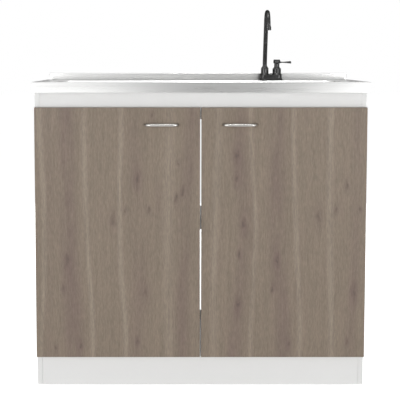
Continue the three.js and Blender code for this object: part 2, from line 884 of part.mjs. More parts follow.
// ---------------------------------------------------------------- Bowl
// One face of the bowl from its flange to the drain, drawn out by a thickness.
function bowlFace(thickness) {
  const flangeZ = recessZ - sheet - seatGap - thickness;
  const rings = [];
  const wallRing = (drawnIn, z) => {
    const radius = bowlCorner - drawnIn;
    rings.push(ring(bowlWidth / 2 - drawnIn, bowlLength / 2 - drawnIn, radius, z));
  };
  const roundRing = (radius, z) => rings.push(ring(radius, radius, radius, z));
  wallRing(-bowlFlange, flangeZ);
  wallRing(-thickness, flangeZ);
  for (let step = 0; step <= arcSteps; step++) {
    const angle = ((step / arcSteps) * Math.PI) / 2;
    const sweep = bowlFoot + thickness;
    const drawnIn = bowlDraft + bowlFoot - sweep * Math.cos(angle);
    wallRing(drawnIn, bowlFloorZ + bowlFoot - sweep * Math.sin(angle));
  }
  roundRing(drainSeatRadius + thickness, bowlDrainZ - thickness);
  roundRing(drainSeatRadius + thickness, drainSeatZ - thickness);
  roundRing(drainRadius, drainSeatZ - thickness);
  return rings;
}

const bowlSkin = loft([...bowlFace(sheet).reverse(), ...bowlFace(0)], true);
add(unit, "sink_bowl", toGeometry(toSolid(bowlSkin)), sinkSteel, bowlX, bowlY, 0);

// ---------------------------------------------------------------- Waste, basket and trap
const waste = groupAt(bowlX, bowlY, 0);
const wasteRadius = drainRadius - facetRoom;
const bowlUnderZ = drainSeatZ - sheet;

add(
  waste,
  "waste_body",
  turned(
    [
      [wasteOutletBore, wasteEndZ],
      [wasteOutletRadius, wasteEndZ],
      [wasteOutletRadius, wasteFloorZ - wasteWall],
      [wasteRadius, wasteFloorZ - wasteWall],
      [wasteRadius, wasteFlangeZ],
      [drainSeatRadius - facetRoom, wasteFlangeZ],
      [drainSeatRadius - facetRoom - wasteWall / 2, wasteFlangeZ + wasteWall],
      [wasteRadius - wasteWall, wasteFlangeZ + wasteWall / 2],
      [wasteRadius - wasteWall, wasteFloorZ],
      [wasteOutletBore, wasteFloorZ],
      [wasteOutletBore, wasteEndZ],
    ],
    roundSides,
  ),
  sinkSteel,
);

const gasketTop = bowlUnderZ - seatGap;
const wasteBore = drainRadius - seatGap;
add(
  waste,
  "waste_gasket",
  tube(drainRadius + gasketWidth, wasteBore, gasketTop - gasketThickness, gasketTop, roundSides),
  blackRubber,
);

// A lobed outline, extruded upwards from z = 0.
function lobed(radius, lobes, depth, height) {
  const count = lobes * lobeSteps;
  const points = [];
  for (let i = 0; i < count; i++) {
    const angle = (2 * Math.PI * i) / count;
    const reach = radius - (depth * (1 - Math.cos(lobes * angle))) / 2;
    points.push(new THREE.Vector2(reach * Math.cos(angle), reach * Math.sin(angle)));
  }
  const options = { depth: height, bevelEnabled: false };
  return new THREE.ExtrudeGeometry(new THREE.Shape(points), options);
}

const locknut = cut(
  lobed(drainRadius + locknutWidth, nutLobes, 2 * nutLobeDepth, locknutHeight),
  rod(wasteBore, -past, locknutHeight + past, roundSides),
);
const locknutZ = gasketTop - gasketThickness - seatGap - locknutHeight;
add(waste, "waste_locknut", locknut, whitePlastic, 0, 0, locknutZ);

// The basket: a punched cup with a post and knob, over a rubber stopper.
const basketRadius = wasteRadius - wasteWall - facetRoom;
const basketRimZ = wasteFlangeZ + wasteWall / 2;
const stopperTop = wasteFloorZ + seatGap + stopperThickness;
const basketFloorZ = stopperTop + seatGap;

function strainerBasket() {
  const cup = turned(
    [
      [0, basketFloorZ],
      [basketFootRadius, basketFloorZ],
      [basketRadius, basketRimZ - basketWall],
      [basketRadius, basketRimZ],
      [basketRadius - basketWall, basketRimZ],
      [basketFootRadius - basketWall, basketFloorZ + basketWall],
      [basketPostRadius, basketFloorZ + basketWall],
      [basketPostRadius, basketRimZ - basketKnobHeight],
      [basketKnobRadius, basketRimZ - basketKnobHeight / 2],
      [basketKnobRadius, basketRimZ - basketKnobHeight / 4],
      [basketKnobRadius - basketKnobEdge, basketRimZ],
      [0, basketRimZ],
    ],
    pipeSides,
  );
  const holes = [];
  const holeTop = basketFloorZ + basketWall + past;
  for (const { count, radius } of basketHoleRings) {
    for (let i = 0; i < count; i++) {
      const angle = (2 * Math.PI * i) / count;
      const hole = rod(basketHole, basketFloorZ - past, holeTop, tinySides);
      holes.push(hole.translate(radius * Math.cos(angle), radius * Math.sin(angle), 0));
    }
  }
  return cut(cup, ...holes);
}

add(waste, "strainer_basket", strainerBasket(), sinkSteel);
add(
  waste,
  "basket_stopper",
  turned(
    [
      [0, stopperTop - stopperThickness],
      [stopperFootRadius, stopperTop - stopperThickness],
      [stopperRadius, stopperTop - stopperThickness / 2],
      [stopperTopRadius, stopperTop],
      [0, stopperTop],
    ],
    pipeSides,
  ),
  blackRubber,
);

// A hand nut over a threaded end: a wide bore, then an end wall with a narrow one at z = 0.
function handNut(threadRadius, boreRadius) {
  const wide = threadRadius + seatGap;
  return cut(
    lobed(wide + nutWall + nutLobeDepth, nutLobes, nutLobeDepth, nutHeight),
    rod(wide, nutEnd, nutHeight + past, pipeSides),
    rod(boreRadius, -past, nutEnd + past, pipeSides),
  );
}

const pipeBore = pipeRadius + seatGap;
const tailCollarTop = wasteEndZ - seatGap;
const tailNutZ = tailCollarTop - wasteWall - seatGap - nutEnd;
add(waste, "tailpiece_nut", handNut(wasteOutletRadius, pipeBore), whitePlastic, 0, 0, tailNutZ);

const tailEndZ = trapCollarTop - trapDipDepth;
add(
  waste,
  "tailpiece",
  turned(
    [
      [pipeRadius - pipeWall, tailEndZ],
      [pipeRadius, tailEndZ],
      [pipeRadius, tailCollarTop - wasteWall],
      [wasteOutletRadius, tailCollarTop - wasteWall],
      [wasteOutletRadius, tailCollarTop],
      [pipeRadius - pipeWall, tailCollarTop],
      [pipeRadius - pipeWall, tailEndZ],
    ],
    pipeSides,
  ),
  whitePlastic,
);

// The inlet nut is a hand nut turned over, so that its end wall is on top.
const inletNut = handNut(wasteOutletRadius, pipeBore).rotateX(Math.PI);
const inletNutTop = trapCollarTop + seatGap + nutEnd;
add(waste, "trap_inlet_nut", inletNut, whitePlastic, 0, 0, inletNutTop);

const trapOutletZ = trapTopZ - trapOutletDrop;
const trapOutletEnd = trapRadius + trapOutletReach;

function trapBody() {
  const inner = trapRadius - trapWall;
  const bottle = turned(
    [
      [inner, trapFootZ],
      [trapRadius, trapFootZ],
      [trapRadius, trapTopZ - trapWall],
      [trapRadius - trapWall, trapTopZ],
      [wasteOutletRadius, trapTopZ],
      [wasteOutletRadius, trapCollarTop],
      [pipeBore, trapCollarTop],
      [pipeBore, trapTopZ - trapWall],
      [inner, trapTopZ - trapWall],
      [inner, trapFootZ],
    ],
    roundSides,
  );
  const spigot = pointY(rod(wasteOutletRadius, inner, trapOutletEnd, pipeSides));
  const outside = rod(inner, trapOutletZ - trapRadius, trapTopZ - trapWall, roundSides);
  const stub = cut(spigot.translate(0, 0, trapOutletZ), outside);
  const bore = pointY(rod(wasteOutletBore, pipeBore, trapOutletEnd + past, pipeSides));
  return cut(join(bottle, stub), bore.translate(0, 0, trapOutletZ));
}

add(waste, "trap_body", trapBody(), whitePlastic);

const cupBore = trapRadius + seatGap;
const cupRadius = cupBore + trapWall;
const cupRimZ = trapFootZ + trapCupOverlap;
add(
  waste,
  "trap_cup",
  turned(
    [
      [0, trapCupFootZ],
      [trapCupFootRadius, trapCupFootZ],
      [trapRadius, trapCupFootZ + trapCupSlope],
      [trapRadius, trapCupSeatZ - trapWall],
      [cupRadius, trapCupSeatZ],
      [cupRadius, cupRimZ],
      [cupBore, cupRimZ],
      [cupBore, trapCupSeatZ],
      [trapRadius - trapWall, trapCupSeatZ],
      [trapRadius - trapWall, trapCupFootZ + trapCupSlope + trapWall / 2],
      [trapCupFootRadius - trapWall, trapCupFootZ + trapWall],
      [0, trapCupFootZ + trapWall],
    ],
    roundSides,
  ),
  whitePlastic,
);

// The outlet's nut and pipe lie along Y, from the trap to the back of the cabinet.
const outletNut = pointY(handNut(wasteOutletRadius, pipeBore).rotateX(Math.PI));
const outletPipeY = trapOutletEnd + seatGap;
const outletNutEnd = outletPipeY + wasteWall + seatGap + nutEnd;
add(waste, "trap_outlet_nut", outletNut, whitePlastic, 0, outletNutEnd, trapOutletZ);
const outletPipe = pointY(
  turned(
    [
      [pipeRadius - pipeWall, outletPipeY],
      [wasteOutletRadius, outletPipeY],
      [wasteOutletRadius, outletPipeY + wasteWall],
      [pipeRadius, outletPipeY + wasteWall],
      [pipeRadius, cabinetBack - bowlY],
      [pipeRadius - pipeWall, cabinetBack - bowlY],
      [pipeRadius - pipeWall, outletPipeY],
    ],
    pipeSides,
  ),
);
add(waste, "trap_outlet_pipe", outletPipe, whitePlastic, 0, 0, trapOutletZ);

// ---------------------------------------------------------------- Tap
// The tap's footprint, drawn in by an inset.
function tapOutline(inset, z) {
  const radius = tapBaseCorner - inset;
  return ring(tapBaseWidth / 2 - inset, tapBaseDepth / 2 - inset, radius, z, plateCornerSteps);
}

function tapPlate() {
  const rings = [
    [0, tapFootZ],
    [0, tapFootZ + tapBaseSkirt],
    [tapBaseTaper - tapBaseEdge / 3, tapFootZ + 2 * tapBaseSkirt],
    [tapBaseTaper, columnZ - tapBaseEdge],
    [tapBaseTaper + tapBaseEdge, columnZ],
  ];
  return loft(rings.map(([inset, z]) => tapOutline(inset, z)));
}

const tap = groupAt(tapX, tapY, 0);
const baseX = tapBaseX - tapX;
const valveX = tapSpread;
const spoutBore = spoutRadius + turnGap;
const spindleBore = spindleRadius + turnGap;
const shankEndZ = ledgeZ - tapShankLength;

// The deck plate with its two columns and the threaded shank that brings the water.
function tapBase() {
  const top = columnZ + columnHeight;
  const column = (radius) =>
    turned(
      [
        [0, columnZ - columnFlare],
        [radius + columnFlare, columnZ - columnFlare],
        [radius + columnFlare, columnZ],
        [radius, columnZ + columnFlareHeight],
        [radius, top],
        [0, top],
      ],
      pipeSides,
    );
  const shank = rod(tapShankRadius, shankEndZ, tapFootZ + tapBaseSkirt, pipeSides);
  const whole = join(
    tapPlate(),
    column(spoutColumnRadius).translate(-baseX, 0, 0),
    column(valveColumnRadius).translate(valveX - baseX, 0, 0),
    shank,
  );
  const spoutSeat = rod(spoutBore, collarZ - spoutSocket - seatGap, top + past, pipeSides);
  const valveSeat = rod(spindleBore, collarZ - spindleSink - seatGap, top + past, smallSides);
  return cut(
    whole,
    spoutSeat.translate(-baseX, 0, 0),
    valveSeat.translate(valveX - baseX, 0, 0),
    rod(tapShankBore, shankEndZ - past, tapFootZ, smallSides),
  );
}

add(tap, "tap_base", tapBase(), blackMetal, baseX, 0, 0);

const gasketRings = [ledgeZ + seatGap, ledgeZ + seatGap + tapGasket].map((z) =>
  tapOutline(tapGasketInset, z),
);
const gasketHole = rod(tapShankRadius + seatGap, ledgeZ, columnZ, pipeSides);
add(tap, "tap_gasket", cut(loft(gasketRings), gasketHole), blackRubber, baseX, 0, 0);

const nutTop = ledgeZ - sheet - seatGap;
const backnut = cut(
  join(
    rod(tapNutRadius, nutTop - tapNutHeight, nutTop - tapWasherThickness, hexSides),
    rod(tapWasherRadius, nutTop - tapWasherThickness, nutTop, pipeSides),
  ),
  rod(tapShankRadius + seatGap, nutTop - tapNutHeight - past, nutTop + past, pipeSides),
);
add(tap, "tap_backnut", backnut, zinc, baseX, 0, 0);

const collarTop = collarZ + collarHeight;
add(
  tap,
  "spout_collar",
  turned(
    [
      [spoutBore, collarZ],
      [spoutColumnRadius, collarZ],
      [spoutColumnRadius, collarZ + collarFoot],
      [spoutBore + collarLip, collarTop],
      [spoutBore, collarTop],
      [spoutBore, collarZ],
    ],
    pipeSides,
  ),
  blackMetal,
);

// The round part of the spout, from the angle where the riser meets it to straight down.
class SpoutArch extends THREE.Curve {
  constructor(onArch, from) {
    super();
    this.onArch = onArch;
    this.from = from;
  }
  getPoint(share, target = new THREE.Vector3()) {
    return target.copy(this.onArch(this.from + share * (Math.PI - this.from)));
  }
}

// The spout's centre line: up through the collar, leaning forward to the arch, then down.
function spoutPath() {
  const at = (y, z) => new THREE.Vector3(0, y, z);
  const bendZ = collarZ + spoutRise;
  const archY = -(spoutReach - spoutArch);
  const reach = Math.hypot(archY, archZ - bendZ);
  const tangent = Math.acos(spoutArch / reach) - Math.atan2(archZ - bendZ, -archY);
  const onArch = (angle) =>
    at(archY + spoutArch * Math.cos(angle), archZ + spoutArch * Math.sin(angle));
  const path = new THREE.CurvePath();
  const bendFrom = at(0, collarTop + spoutStraight);
  const bend = at(0, bendZ);
  const archStart = onArch(tangent);
  const bendTo = bend.clone().lerp(archStart, (bendZ - bendFrom.z) / bend.distanceTo(archStart));
  path.add(new THREE.LineCurve3(at(0, collarZ - spoutSocket), bendFrom));
  path.add(new THREE.QuadraticBezierCurve3(bendFrom, bend, bendTo));
  path.add(new THREE.LineCurve3(bendTo, archStart));
  path.add(new SpoutArch(onArch, tangent));
  const archEnd = onArch(Math.PI);
  const mouth = aeratorZ + aeratorHeight - aeratorOverlap + seatGap;
  path.add(new THREE.LineCurve3(archEnd, at(archEnd.y, mouth)));
  return path;
}

const spoutPipe = bent(spoutPath(), spoutRadius, smallSides, barSteps, spoutRadius - spoutWall);
add(tap, "spout", toGeometry(toSolid(spoutPipe)), blackMetal);

const aeratorSeat = aeratorHeight - aeratorOverlap;
const aeratorBore = spoutRadius + seatGap;
add(
  tap,
  "aerator",
  turned(
    [
      [0, aeratorMouthDepth],
      [aeratorMouth, aeratorMouthDepth],
      [aeratorMouth, 0],
      [aeratorRadius - aeratorEdge, 0],
      [aeratorRadius, aeratorEdge],
      [aeratorRadius, aeratorHeight - aeratorShoulder],
      [aeratorBore + aeratorEdge, aeratorHeight],
      [aeratorBore, aeratorHeight],
      [aeratorBore, aeratorSeat],
      [0, aeratorSeat],
    ],
    pipeSides,
  ),
  blackMetal,
  0,
  -spoutReach,
  aeratorZ,
);

add(
  tap,
  "valve_bonnet",
  turned(
    [
      [spindleBore, 0],
      [valveColumnRadius, 0],
      [valveColumnRadius, bonnetFoot],
      [bonnetRadius + bonnetFillet, bonnetShoulder],
      [bonnetRadius, bonnetShoulder + 2 * bonnetFillet],
      [bonnetRadius, bonnetHeight],
      [spindleBore, bonnetHeight],
      [spindleBore, 0],
    ],
    pipeSides,
  ),
  blackMetal,
  valveX,
  0,
  collarZ,
);
const spindleTop = bonnetHeight + seatGap + spindleRise;
const spindle = rod(spindleRadius, -spindleSink, spindleTop, smallSides);
add(tap, "valve_spindle", spindle, zinc, valveX, 0, collarZ);

// The hub sits on the spindle and takes the lever in its side.
function handleHub() {
  const cap = turned(
    [
      [0, 0],
      [bonnetRadius, 0],
      [hubRadius, hubFlare],
      [hubRadius, hubHeight - hubEdge],
      [hubRadius - hubEdgeInset, hubHeight],
      [0, hubHeight],
    ],
    pipeSides,
  );
  const socket = rod(spindleRadius + seatGap, -past, spindleRise + seatGap, smallSides);
  const reach = hubRadius - leverPegLength - seatGap;
  const side = pointX(rod(leverPegRadius + seatGap, reach, hubRadius + past, smallSides));
  return cut(cap, socket, side.translate(0, 0, leverAbove));
}

add(tap, "handle_hub", handleHub(), blackMetal, valveX, 0, hubZ);

const leverFrom = hubRadius + seatGap;
const lever = pointX(
  turned(
    [
      [0, hubRadius - leverPegLength],
      [leverPegRadius, hubRadius - leverPegLength],
      [leverPegRadius, leverFrom],
      [leverRootRadius, leverFrom],
      [leverNeckRadius, leverFrom + leverRootLength],
      [leverNeckRadius, leverLength - leverTipLength],
      [leverTipRadius, leverLength - leverTipEdge],
      [leverTipEnd, leverLength],
      [0, leverLength],
    ],
    smallSides,
  ),
);
add(tap, "handle_lever", lever, blackMetal, valveX, 0, hubZ + leverAbove);

export default unit;
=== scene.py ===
"""Dresses a kitchen sink unit: boards, oak doors, fittings, steel sink, waste, trap and tap.

It is laid out as an add-on: the sizes and colours are in property groups, each group of like
pieces has its operator, and a panel in the 3D view's sidebar lists them. Places are in metres.
"""

import math

import bmesh
import bpy
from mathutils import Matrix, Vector


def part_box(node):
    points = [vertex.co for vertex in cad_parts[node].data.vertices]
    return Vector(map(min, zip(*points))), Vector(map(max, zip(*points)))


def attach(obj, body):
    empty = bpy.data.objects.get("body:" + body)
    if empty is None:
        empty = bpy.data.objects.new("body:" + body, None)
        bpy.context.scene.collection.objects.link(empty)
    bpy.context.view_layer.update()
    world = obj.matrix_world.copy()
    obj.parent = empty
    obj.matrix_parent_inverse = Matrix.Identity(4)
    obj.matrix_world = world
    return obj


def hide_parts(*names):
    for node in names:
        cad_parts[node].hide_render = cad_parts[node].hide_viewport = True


bl_info = {
    "name": "Kitchen Sink Unit",
    "version": (1, 0, 0),
    "blender": (4, 5, 0),
    "location": "View3D > Sidebar > Sink Unit",
    "description": "Finishes a two-door sink unit with a steel top and a swivel tap",
    "category": "Object",
}

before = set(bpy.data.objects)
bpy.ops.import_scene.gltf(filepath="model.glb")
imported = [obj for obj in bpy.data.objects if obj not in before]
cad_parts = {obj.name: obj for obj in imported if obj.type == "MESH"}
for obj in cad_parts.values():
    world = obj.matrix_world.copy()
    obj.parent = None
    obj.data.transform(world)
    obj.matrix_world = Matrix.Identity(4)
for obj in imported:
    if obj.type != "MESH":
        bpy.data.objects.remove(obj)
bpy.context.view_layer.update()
MM = 0.001


# ------------------------------------------------------------------ Settings
def linear(value):
    """A display value from 0 to 255 as linear light, by the usual display curve."""
    share = value / 255
    if share <= 0.04045:
        return share / 12.92
    return ((share + 0.055) / 1.055) ** 2.4


def colour(name, description, red, green, blue):
    """A colour setting, given in display values."""
    return bpy.props.FloatVectorProperty(
        name=name,
        description=description,
        subtype="COLOR",
        size=3,
        min=0.0,
        max=1.0,
        default=(linear(red), linear(green), linear(blue)),
    )


def length(name, description, default):
    """A length setting in metres."""
    return bpy.props.FloatProperty(
        name=name, description=description, default=default, min=0.0, unit="LENGTH", precision=4
    )


def number(name, description, default):
    """A plain number setting."""
    return bpy.props.FloatProperty(name=name, description=description, default=default, precision=3)


def count(name, description, default):
    """A whole number setting."""
    return bpy.props.IntProperty(name=name, description=description, default=default, min=3)


class FinishSettings(bpy.types.PropertyGroup):
    """Colours of the finishes."""

    oak: colour("Oak", "Ground of the oak laminate", 126, 113, 99)
    oak_zone: colour("Oak zone", "Broad mauve zones of the oak", 112, 96, 88)
    oak_streak: colour("Oak streak", "Pale sapwood streaks of the oak", 143, 131, 117)
    # The oak knot colour is also the painted shade along the doors' edges.
    oak_knot: colour("Oak knot", "Knots, pores and edges of the oak", 80, 68, 61)
    board: colour("Board", "White board of the carcass", 226, 226, 225)
    board_edge: colour("Board edge", "Edge band of the white board", 221, 221, 219)
    steel: colour("Steel", "Stainless steel of the sink", 236, 236, 235)
    nickel: colour("Nickel", "Satin nickel of the handles", 207, 205, 201)
    zinc: colour("Zinc", "Plated hinges, pins and screws", 190, 192, 194)
    black: colour("Black metal", "Satin black of the tap", 76, 76, 76)
    plastic: colour("White plastic", "Trap, nuts and glides", 232, 232, 228)
    rubber: colour("Rubber", "Gaskets and stopper", 34, 34, 35)


class ShapeSettings(bpy.types.PropertyGroup):
    """Edges and facets of the pieces."""

    board_edge: length("Board edge", "Rounding along the boards' edges", 0.0006)
    door_edge: length("Door edge", "Rounding along the doors' edges", 0.0009)
    sheet_edge: length("Sheet edge", "Rounding along the sink's folds", 0.0007)
    metal_edge: length("Metal edge", "Rounding along the fittings' edges", 0.0003)
    round_sides: count("Round sides", "Sides of a turned piece", 64)
    fillet_steps: count("Fillet steps", "Steps of a rounded corner", 4)


class StudioSettings(bpy.types.PropertyGroup):
    """Camera, floor and light."""

    distance: length("Distance", "Camera to the sink's front", 3.4)
    height: length("Height", "Camera over the floor", 0.9859)
    side: number("Side", "Camera left or right of the middle, in metres", -0.0737)
    tilt: number("Tilt", "Camera down from level, in degrees", 5.34)
    lens: number("Lens", "Focal length in millimetres on a 36 mm frame", 103.75)
    rise: number("Rise", "Vertical shift of the lens", -0.08)
    shift: number("Shift", "Sideways shift of the lens", 0.06)
    sky: number("Sky", "Light of the surroundings", 0.2)
    key: number("Key lamps", "Power of each key lamp in watts", 19.0)
    fill: number("Fill lamp", "Power of the lamp in front in watts", 101.0)
    side_fill: number("Side lamps", "Power of the lamps at the sides and the back in watts", 68.0)
    card_dark: number("Card middle", "Light of a reflector card's middle", 0.4)
    card_light: number("Card edge", "Light of a reflector card's edge", 1.38)


def shape():
    """The settings of edges and facets."""
    return bpy.context.scene.sink_unit_shape


# ------------------------------------------------------------------ Node helpers
class Value:
    """An output of a node. It adds, subtracts and multiplies as a number does, with Math nodes."""

    def __init__(self, graph, socket):
        self.graph = graph
        self.socket = socket

    def __add__(self, other):
        return self.graph.math("ADD", self, other)

    def __sub__(self, other):
        return self.graph.math("SUBTRACT", self, other)

    def __rsub__(self, other):
        return self.graph.math("SUBTRACT", other, self)

    def __mul__(self, other):
        return self.graph.math("MULTIPLY", self, other)


class Graph:
    """Adds nodes to a tree and links them."""

    def __init__(self, tree):
        self.tree = tree

    def node(self, kind, inputs=None, **settings):
        made = self.tree.nodes.new(kind)
        for name, value in settings.items():
            setattr(made, name, value)
        for name, value in (inputs or {}).items():
            self.feed(made.inputs[name], value)
        return made

    def value(self, kind, inputs=None, output=0, **settings):
        """One output of a new node."""
        return Value(self, self.node(kind, inputs, **settings).outputs[output])

    def feed(self, socket, value):
        if isinstance(value, Value):
            self.tree.links.new(value.socket, socket)
        else:
            socket.default_value = value

    def math(self, operation, first, second=0.0, clamp=False):
        inputs = {0: first, 1: second}
        return self.value("ShaderNodeMath", inputs, operation=operation, use_clamp=clamp)

    def blend(self, factor, first, second, mode="MIX"):
        inputs = {0: factor, 6: first, 7: second}
        return self.value("ShaderNodeMix", inputs, 2, data_type="RGBA", blend_type=mode)

    def ramp(self, value, low, high, to_low=0.0, to_high=1.0):
        inputs = dict(enumerate((value, low, high, to_low, to_high)))
        return self.value("ShaderNodeMapRange", inputs, interpolation_type="SMOOTHSTEP")

    def scaled(self, vector, x, y, z):
        return self.value("ShaderNodeVectorMath", {0: vector, 1: (x, y, z)}, operation="MULTIPLY")

    def noise(self, vector, scale=1.0, detail=2.0, roughness=0.5):
        inputs = {"Vector": vector, "Scale": scale, "Detail": detail, "Roughness": roughness}
        return self.value("ShaderNodeTexNoise", inputs, "Fac")

    def split(self, vector):
        outputs = self.node("ShaderNodeSeparateXYZ", {0: vector}).outputs
        return [Value(self, socket) for socket in outputs]

    def joined(self, x, y, z):
        return self.value("ShaderNodeCombineXYZ", {0: x, 1: y, 2: z})

    def outputs(self, kind, inputs=None, **settings):
        """All outputs of a new node, by name."""
        made = self.node(kind, inputs, **settings)
        return {socket.name: Value(self, socket) for socket in made.outputs}


FLOAT, VECTOR, COLOUR = "NodeSocketFloat", "NodeSocketVector", "NodeSocketColor"
GEOMETRY = "NodeSocketGeometry"


def add_sockets(group, in_out, sockets):
    """Gives a node group its inputs or outputs: kinds of sockets, or numbers to start at."""
    for name, kind in sockets.items():
        start = kind if isinstance(kind, float) else None
        kind = kind if start is None else FLOAT
        made = group.interface.new_socket(name=name, in_out=in_out, socket_type=kind)
        if start is not None:
            made.default_value = start


def shader_group(name, inputs, outputs):
    """Turns a function that builds outputs from inputs into a shader node group, made on its
    first use. It is then called with a graph and its values, and returns its outputs by name."""

    def wrap(build):
        def place(graph, **values):
            group = bpy.data.node_groups.get(name)
            if not group:
                group = bpy.data.node_groups.new(name, "ShaderNodeTree")
                add_sockets(group, "INPUT", inputs)
                add_sockets(group, "OUTPUT", outputs)
                inner = Graph(group)
                results = build(inner, inner.outputs("NodeGroupInput"))
                inner.node("NodeGroupOutput", dict(zip(outputs, results)))
            return graph.outputs("ShaderNodeGroup", values, node_tree=group)

        return place

    return wrap


@shader_group("Edge Wear", {"Reach": 0.001}, {"Mask": FLOAT})
def edge_wear_and_shade(graph, inputs):
    """Mask of the outer edges: where a finish is rubbed, and where the doors get their painted
    shade.
    """
    bevel = graph.value("ShaderNodeBevel", {"Radius": inputs["Reach"]}, samples=4)
    normals = {0: bevel, 1: graph.value("ShaderNodeNewGeometry", output="Normal")}
    same = graph.value("ShaderNodeVectorMath", normals, "Value", operation="DOT_PRODUCT")
    return [graph.ramp(same, 0.99, 0.82)]


@shader_group("Fine Texture", {"Vector": VECTOR, "Size": 0.001}, {"Height": FLOAT, "Tone": FLOAT})
def fine_texture(graph, inputs):
    """Small even unevenness, as of moulded plastic, coating or laminate."""
    scale = graph.math("DIVIDE", 1.0, inputs["Size"])
    fine = graph.noise(inputs["Vector"], scale, 3.0, 0.6)
    broad = graph.noise(inputs["Vector"], graph.math("DIVIDE", scale, 9.0), 2.0)
    height = fine * 0.7 + broad * 0.3
    return [height, height - 0.5]


@shader_group("Crease Shade", {"Reach": 0.02}, {"Mask": FLOAT})
def crease_shade(graph, inputs):
    """Mask of the creases and corners, where little light gets in, for the painted shade there."""
    reach = {"Distance": inputs["Reach"]}
    open_sky = graph.value("ShaderNodeAmbientOcclusion", reach, "AO", samples=6)
    return [graph.ramp(open_sky, 0.95, 0.25)]


@shader_group("Smudges", {"Vector": VECTOR, "Scale": 7.0}, {"Mask": FLOAT})
def smudges(graph, inputs):
    """Broad soft patches left by wiping and hands."""
    return [graph.ramp(graph.noise(inputs["Vector"], inputs["Scale"], 4.0, 0.6), 0.42, 0.72)]


@shader_group(
    "Brushing",
    {"Vector": VECTOR, "Along": 4.0, "Lines": 900.0},
    {"Height": FLOAT, "Tone": FLOAT},
)
def brushing(graph, inputs):
    """Lines of brushed metal that run along X."""
    x, y, z = graph.split(inputs["Vector"])
    lines = inputs["Lines"]
    vector = graph.joined(x * inputs["Along"], y * lines, z * lines)
    fine = graph.noise(vector, 1.0, 4.0, 0.65)
    broad = graph.noise(graph.scaled(vector, 0.6, 0.16, 0.16), 1.0, 2.0)
    return [fine, fine + broad - 1.0]


@shader_group(
    "Streak",
    {"X": 0.0, "Share": 0.0, "Foot": 0.0, "Lean": 0.0, "Bulge": 0.0, "Width": 0.01},
    {"Mask": FLOAT},
)
def streak(graph, inputs):
    """One upright streak with soft sides, whose place along X leans and bulges with height."""
    share = inputs["Share"]
    hump = share * (1.0 - share) * 4.0
    middle = inputs["Foot"] + inputs["Lean"] * share + inputs["Bulge"] * hump
    off = graph.math("ABSOLUTE", inputs["X"] - middle)
    return [graph.ramp(off, 0.0, inputs["Width"], 1.0, 0.0)]


# ------------------------------------------------------------------ Oak laminate
KNOT_FLATTENED = 0.38  # a knot's width over its height
HALO_REACH = 5.5  # how many times a knot's size its halo reaches
EYE_REACH = 2.0
HALO_STRENGTH = 0.5
EYE_STRENGTH = 0.5
KNOT_PUSH = 0.6  # how far a knot pushes the fibres aside
# How the grain sways and how ragged a knot is: turns for each metre along each axis, and how far.
SWAY_TURNS = (4.0, 3.4)
SWAY = 0.016
RAGGED_TURNS = (110.0, 110.0, 45.0)
RAGGED_SIDE = 0.014
RAGGED_RISE = 0.04
# The grain's layers: turns for each metre across and along, detail, roughness, and strength.
CLOUDS = (24.0, 4.5, 3.0, 0.6, 0.2)
BANDS = (110.0, 5.0, 3.0, 0.6, 0.34)
FLECKS = (330.0, 62.0, 3.0, 0.65, 0.84)
THREADS = (1100.0, 30.0, 3.0, 0.7, 0.7)
PORES = (800.0, 50.0, 1.0, 0.6, 0.28)
# The decor's pale streaks: (x at the foot, lean to the top, bulge, half width, strength).
OAK_STREAKS = (
    (-0.480, 0.001, 0.012, 0.014, 0.65),
    (-0.324, -0.025, -0.004, 0.012, 0.80),
    (-0.227, -0.010, -0.009, 0.013, 0.80),
    (-0.096, 0.003, -0.004, 0.027, 0.50),
    (0.042, 0.013, -0.008, 0.018, 0.62),
    (0.150, 0.000, 0.015, 0.011, 0.75),
    (0.301, -0.023, -0.004, 0.012, 0.80),
    (0.398, -0.010, -0.007, 0.016, 0.75),
)
# Its broad mauve zones, in the same form.
OAK_ZONES = (
    (-0.380, -0.020, -0.006, 0.046, 0.65),
    (-0.460, 0.006, 0.004, 0.024, 0.25),
    (-0.190, -0.010, 0.010, 0.040, 0.35),
    (-0.055, 0.030, -0.010, 0.036, 0.55),
    (0.105, 0.010, 0.025, 0.038, 0.50),
    (0.250, -0.020, -0.010, 0.044, 0.60),
    (0.455, 0.010, 0.005, 0.025, 0.40),
)
# Its knots: (x, z, size).
OAK_KNOTS = (
    (-0.145, 0.822, 0.0030),
    (-0.155, 0.541, 0.0024),
    (-0.226, 0.535, 0.0022),
    (-0.262, 0.508, 0.0048),
    (-0.074, 0.573, 0.0036),
    (-0.053, 0.594, 0.0030),
    (-0.188, 0.637, 0.0046),
    (-0.066, 0.680, 0.0022),
    (-0.401, 0.388, 0.0042),
    (-0.412, 0.304, 0.0020),
    (-0.164, 0.288, 0.0046),
    (-0.190, 0.140, 0.0024),
    (-0.360, 0.129, 0.0024),
    (-0.437, 0.119, 0.0024),
    (0.106, 0.701, 0.0050),
    (0.107, 0.634, 0.0036),
    (0.130, 0.500, 0.0042),
    (0.116, 0.407, 0.0026),
    (0.230, 0.387, 0.0034),
    (0.218, 0.304, 0.0026),
    (0.111, 0.250, 0.0040),
    (0.353, 0.520, 0.0050),
    (0.404, 0.536, 0.0026),
    (0.476, 0.540, 0.0022),
    (0.437, 0.612, 0.0030),
    (0.462, 0.285, 0.0050),
    (0.442, 0.137, 0.0026),
    (0.267, 0.130, 0.0026),
)


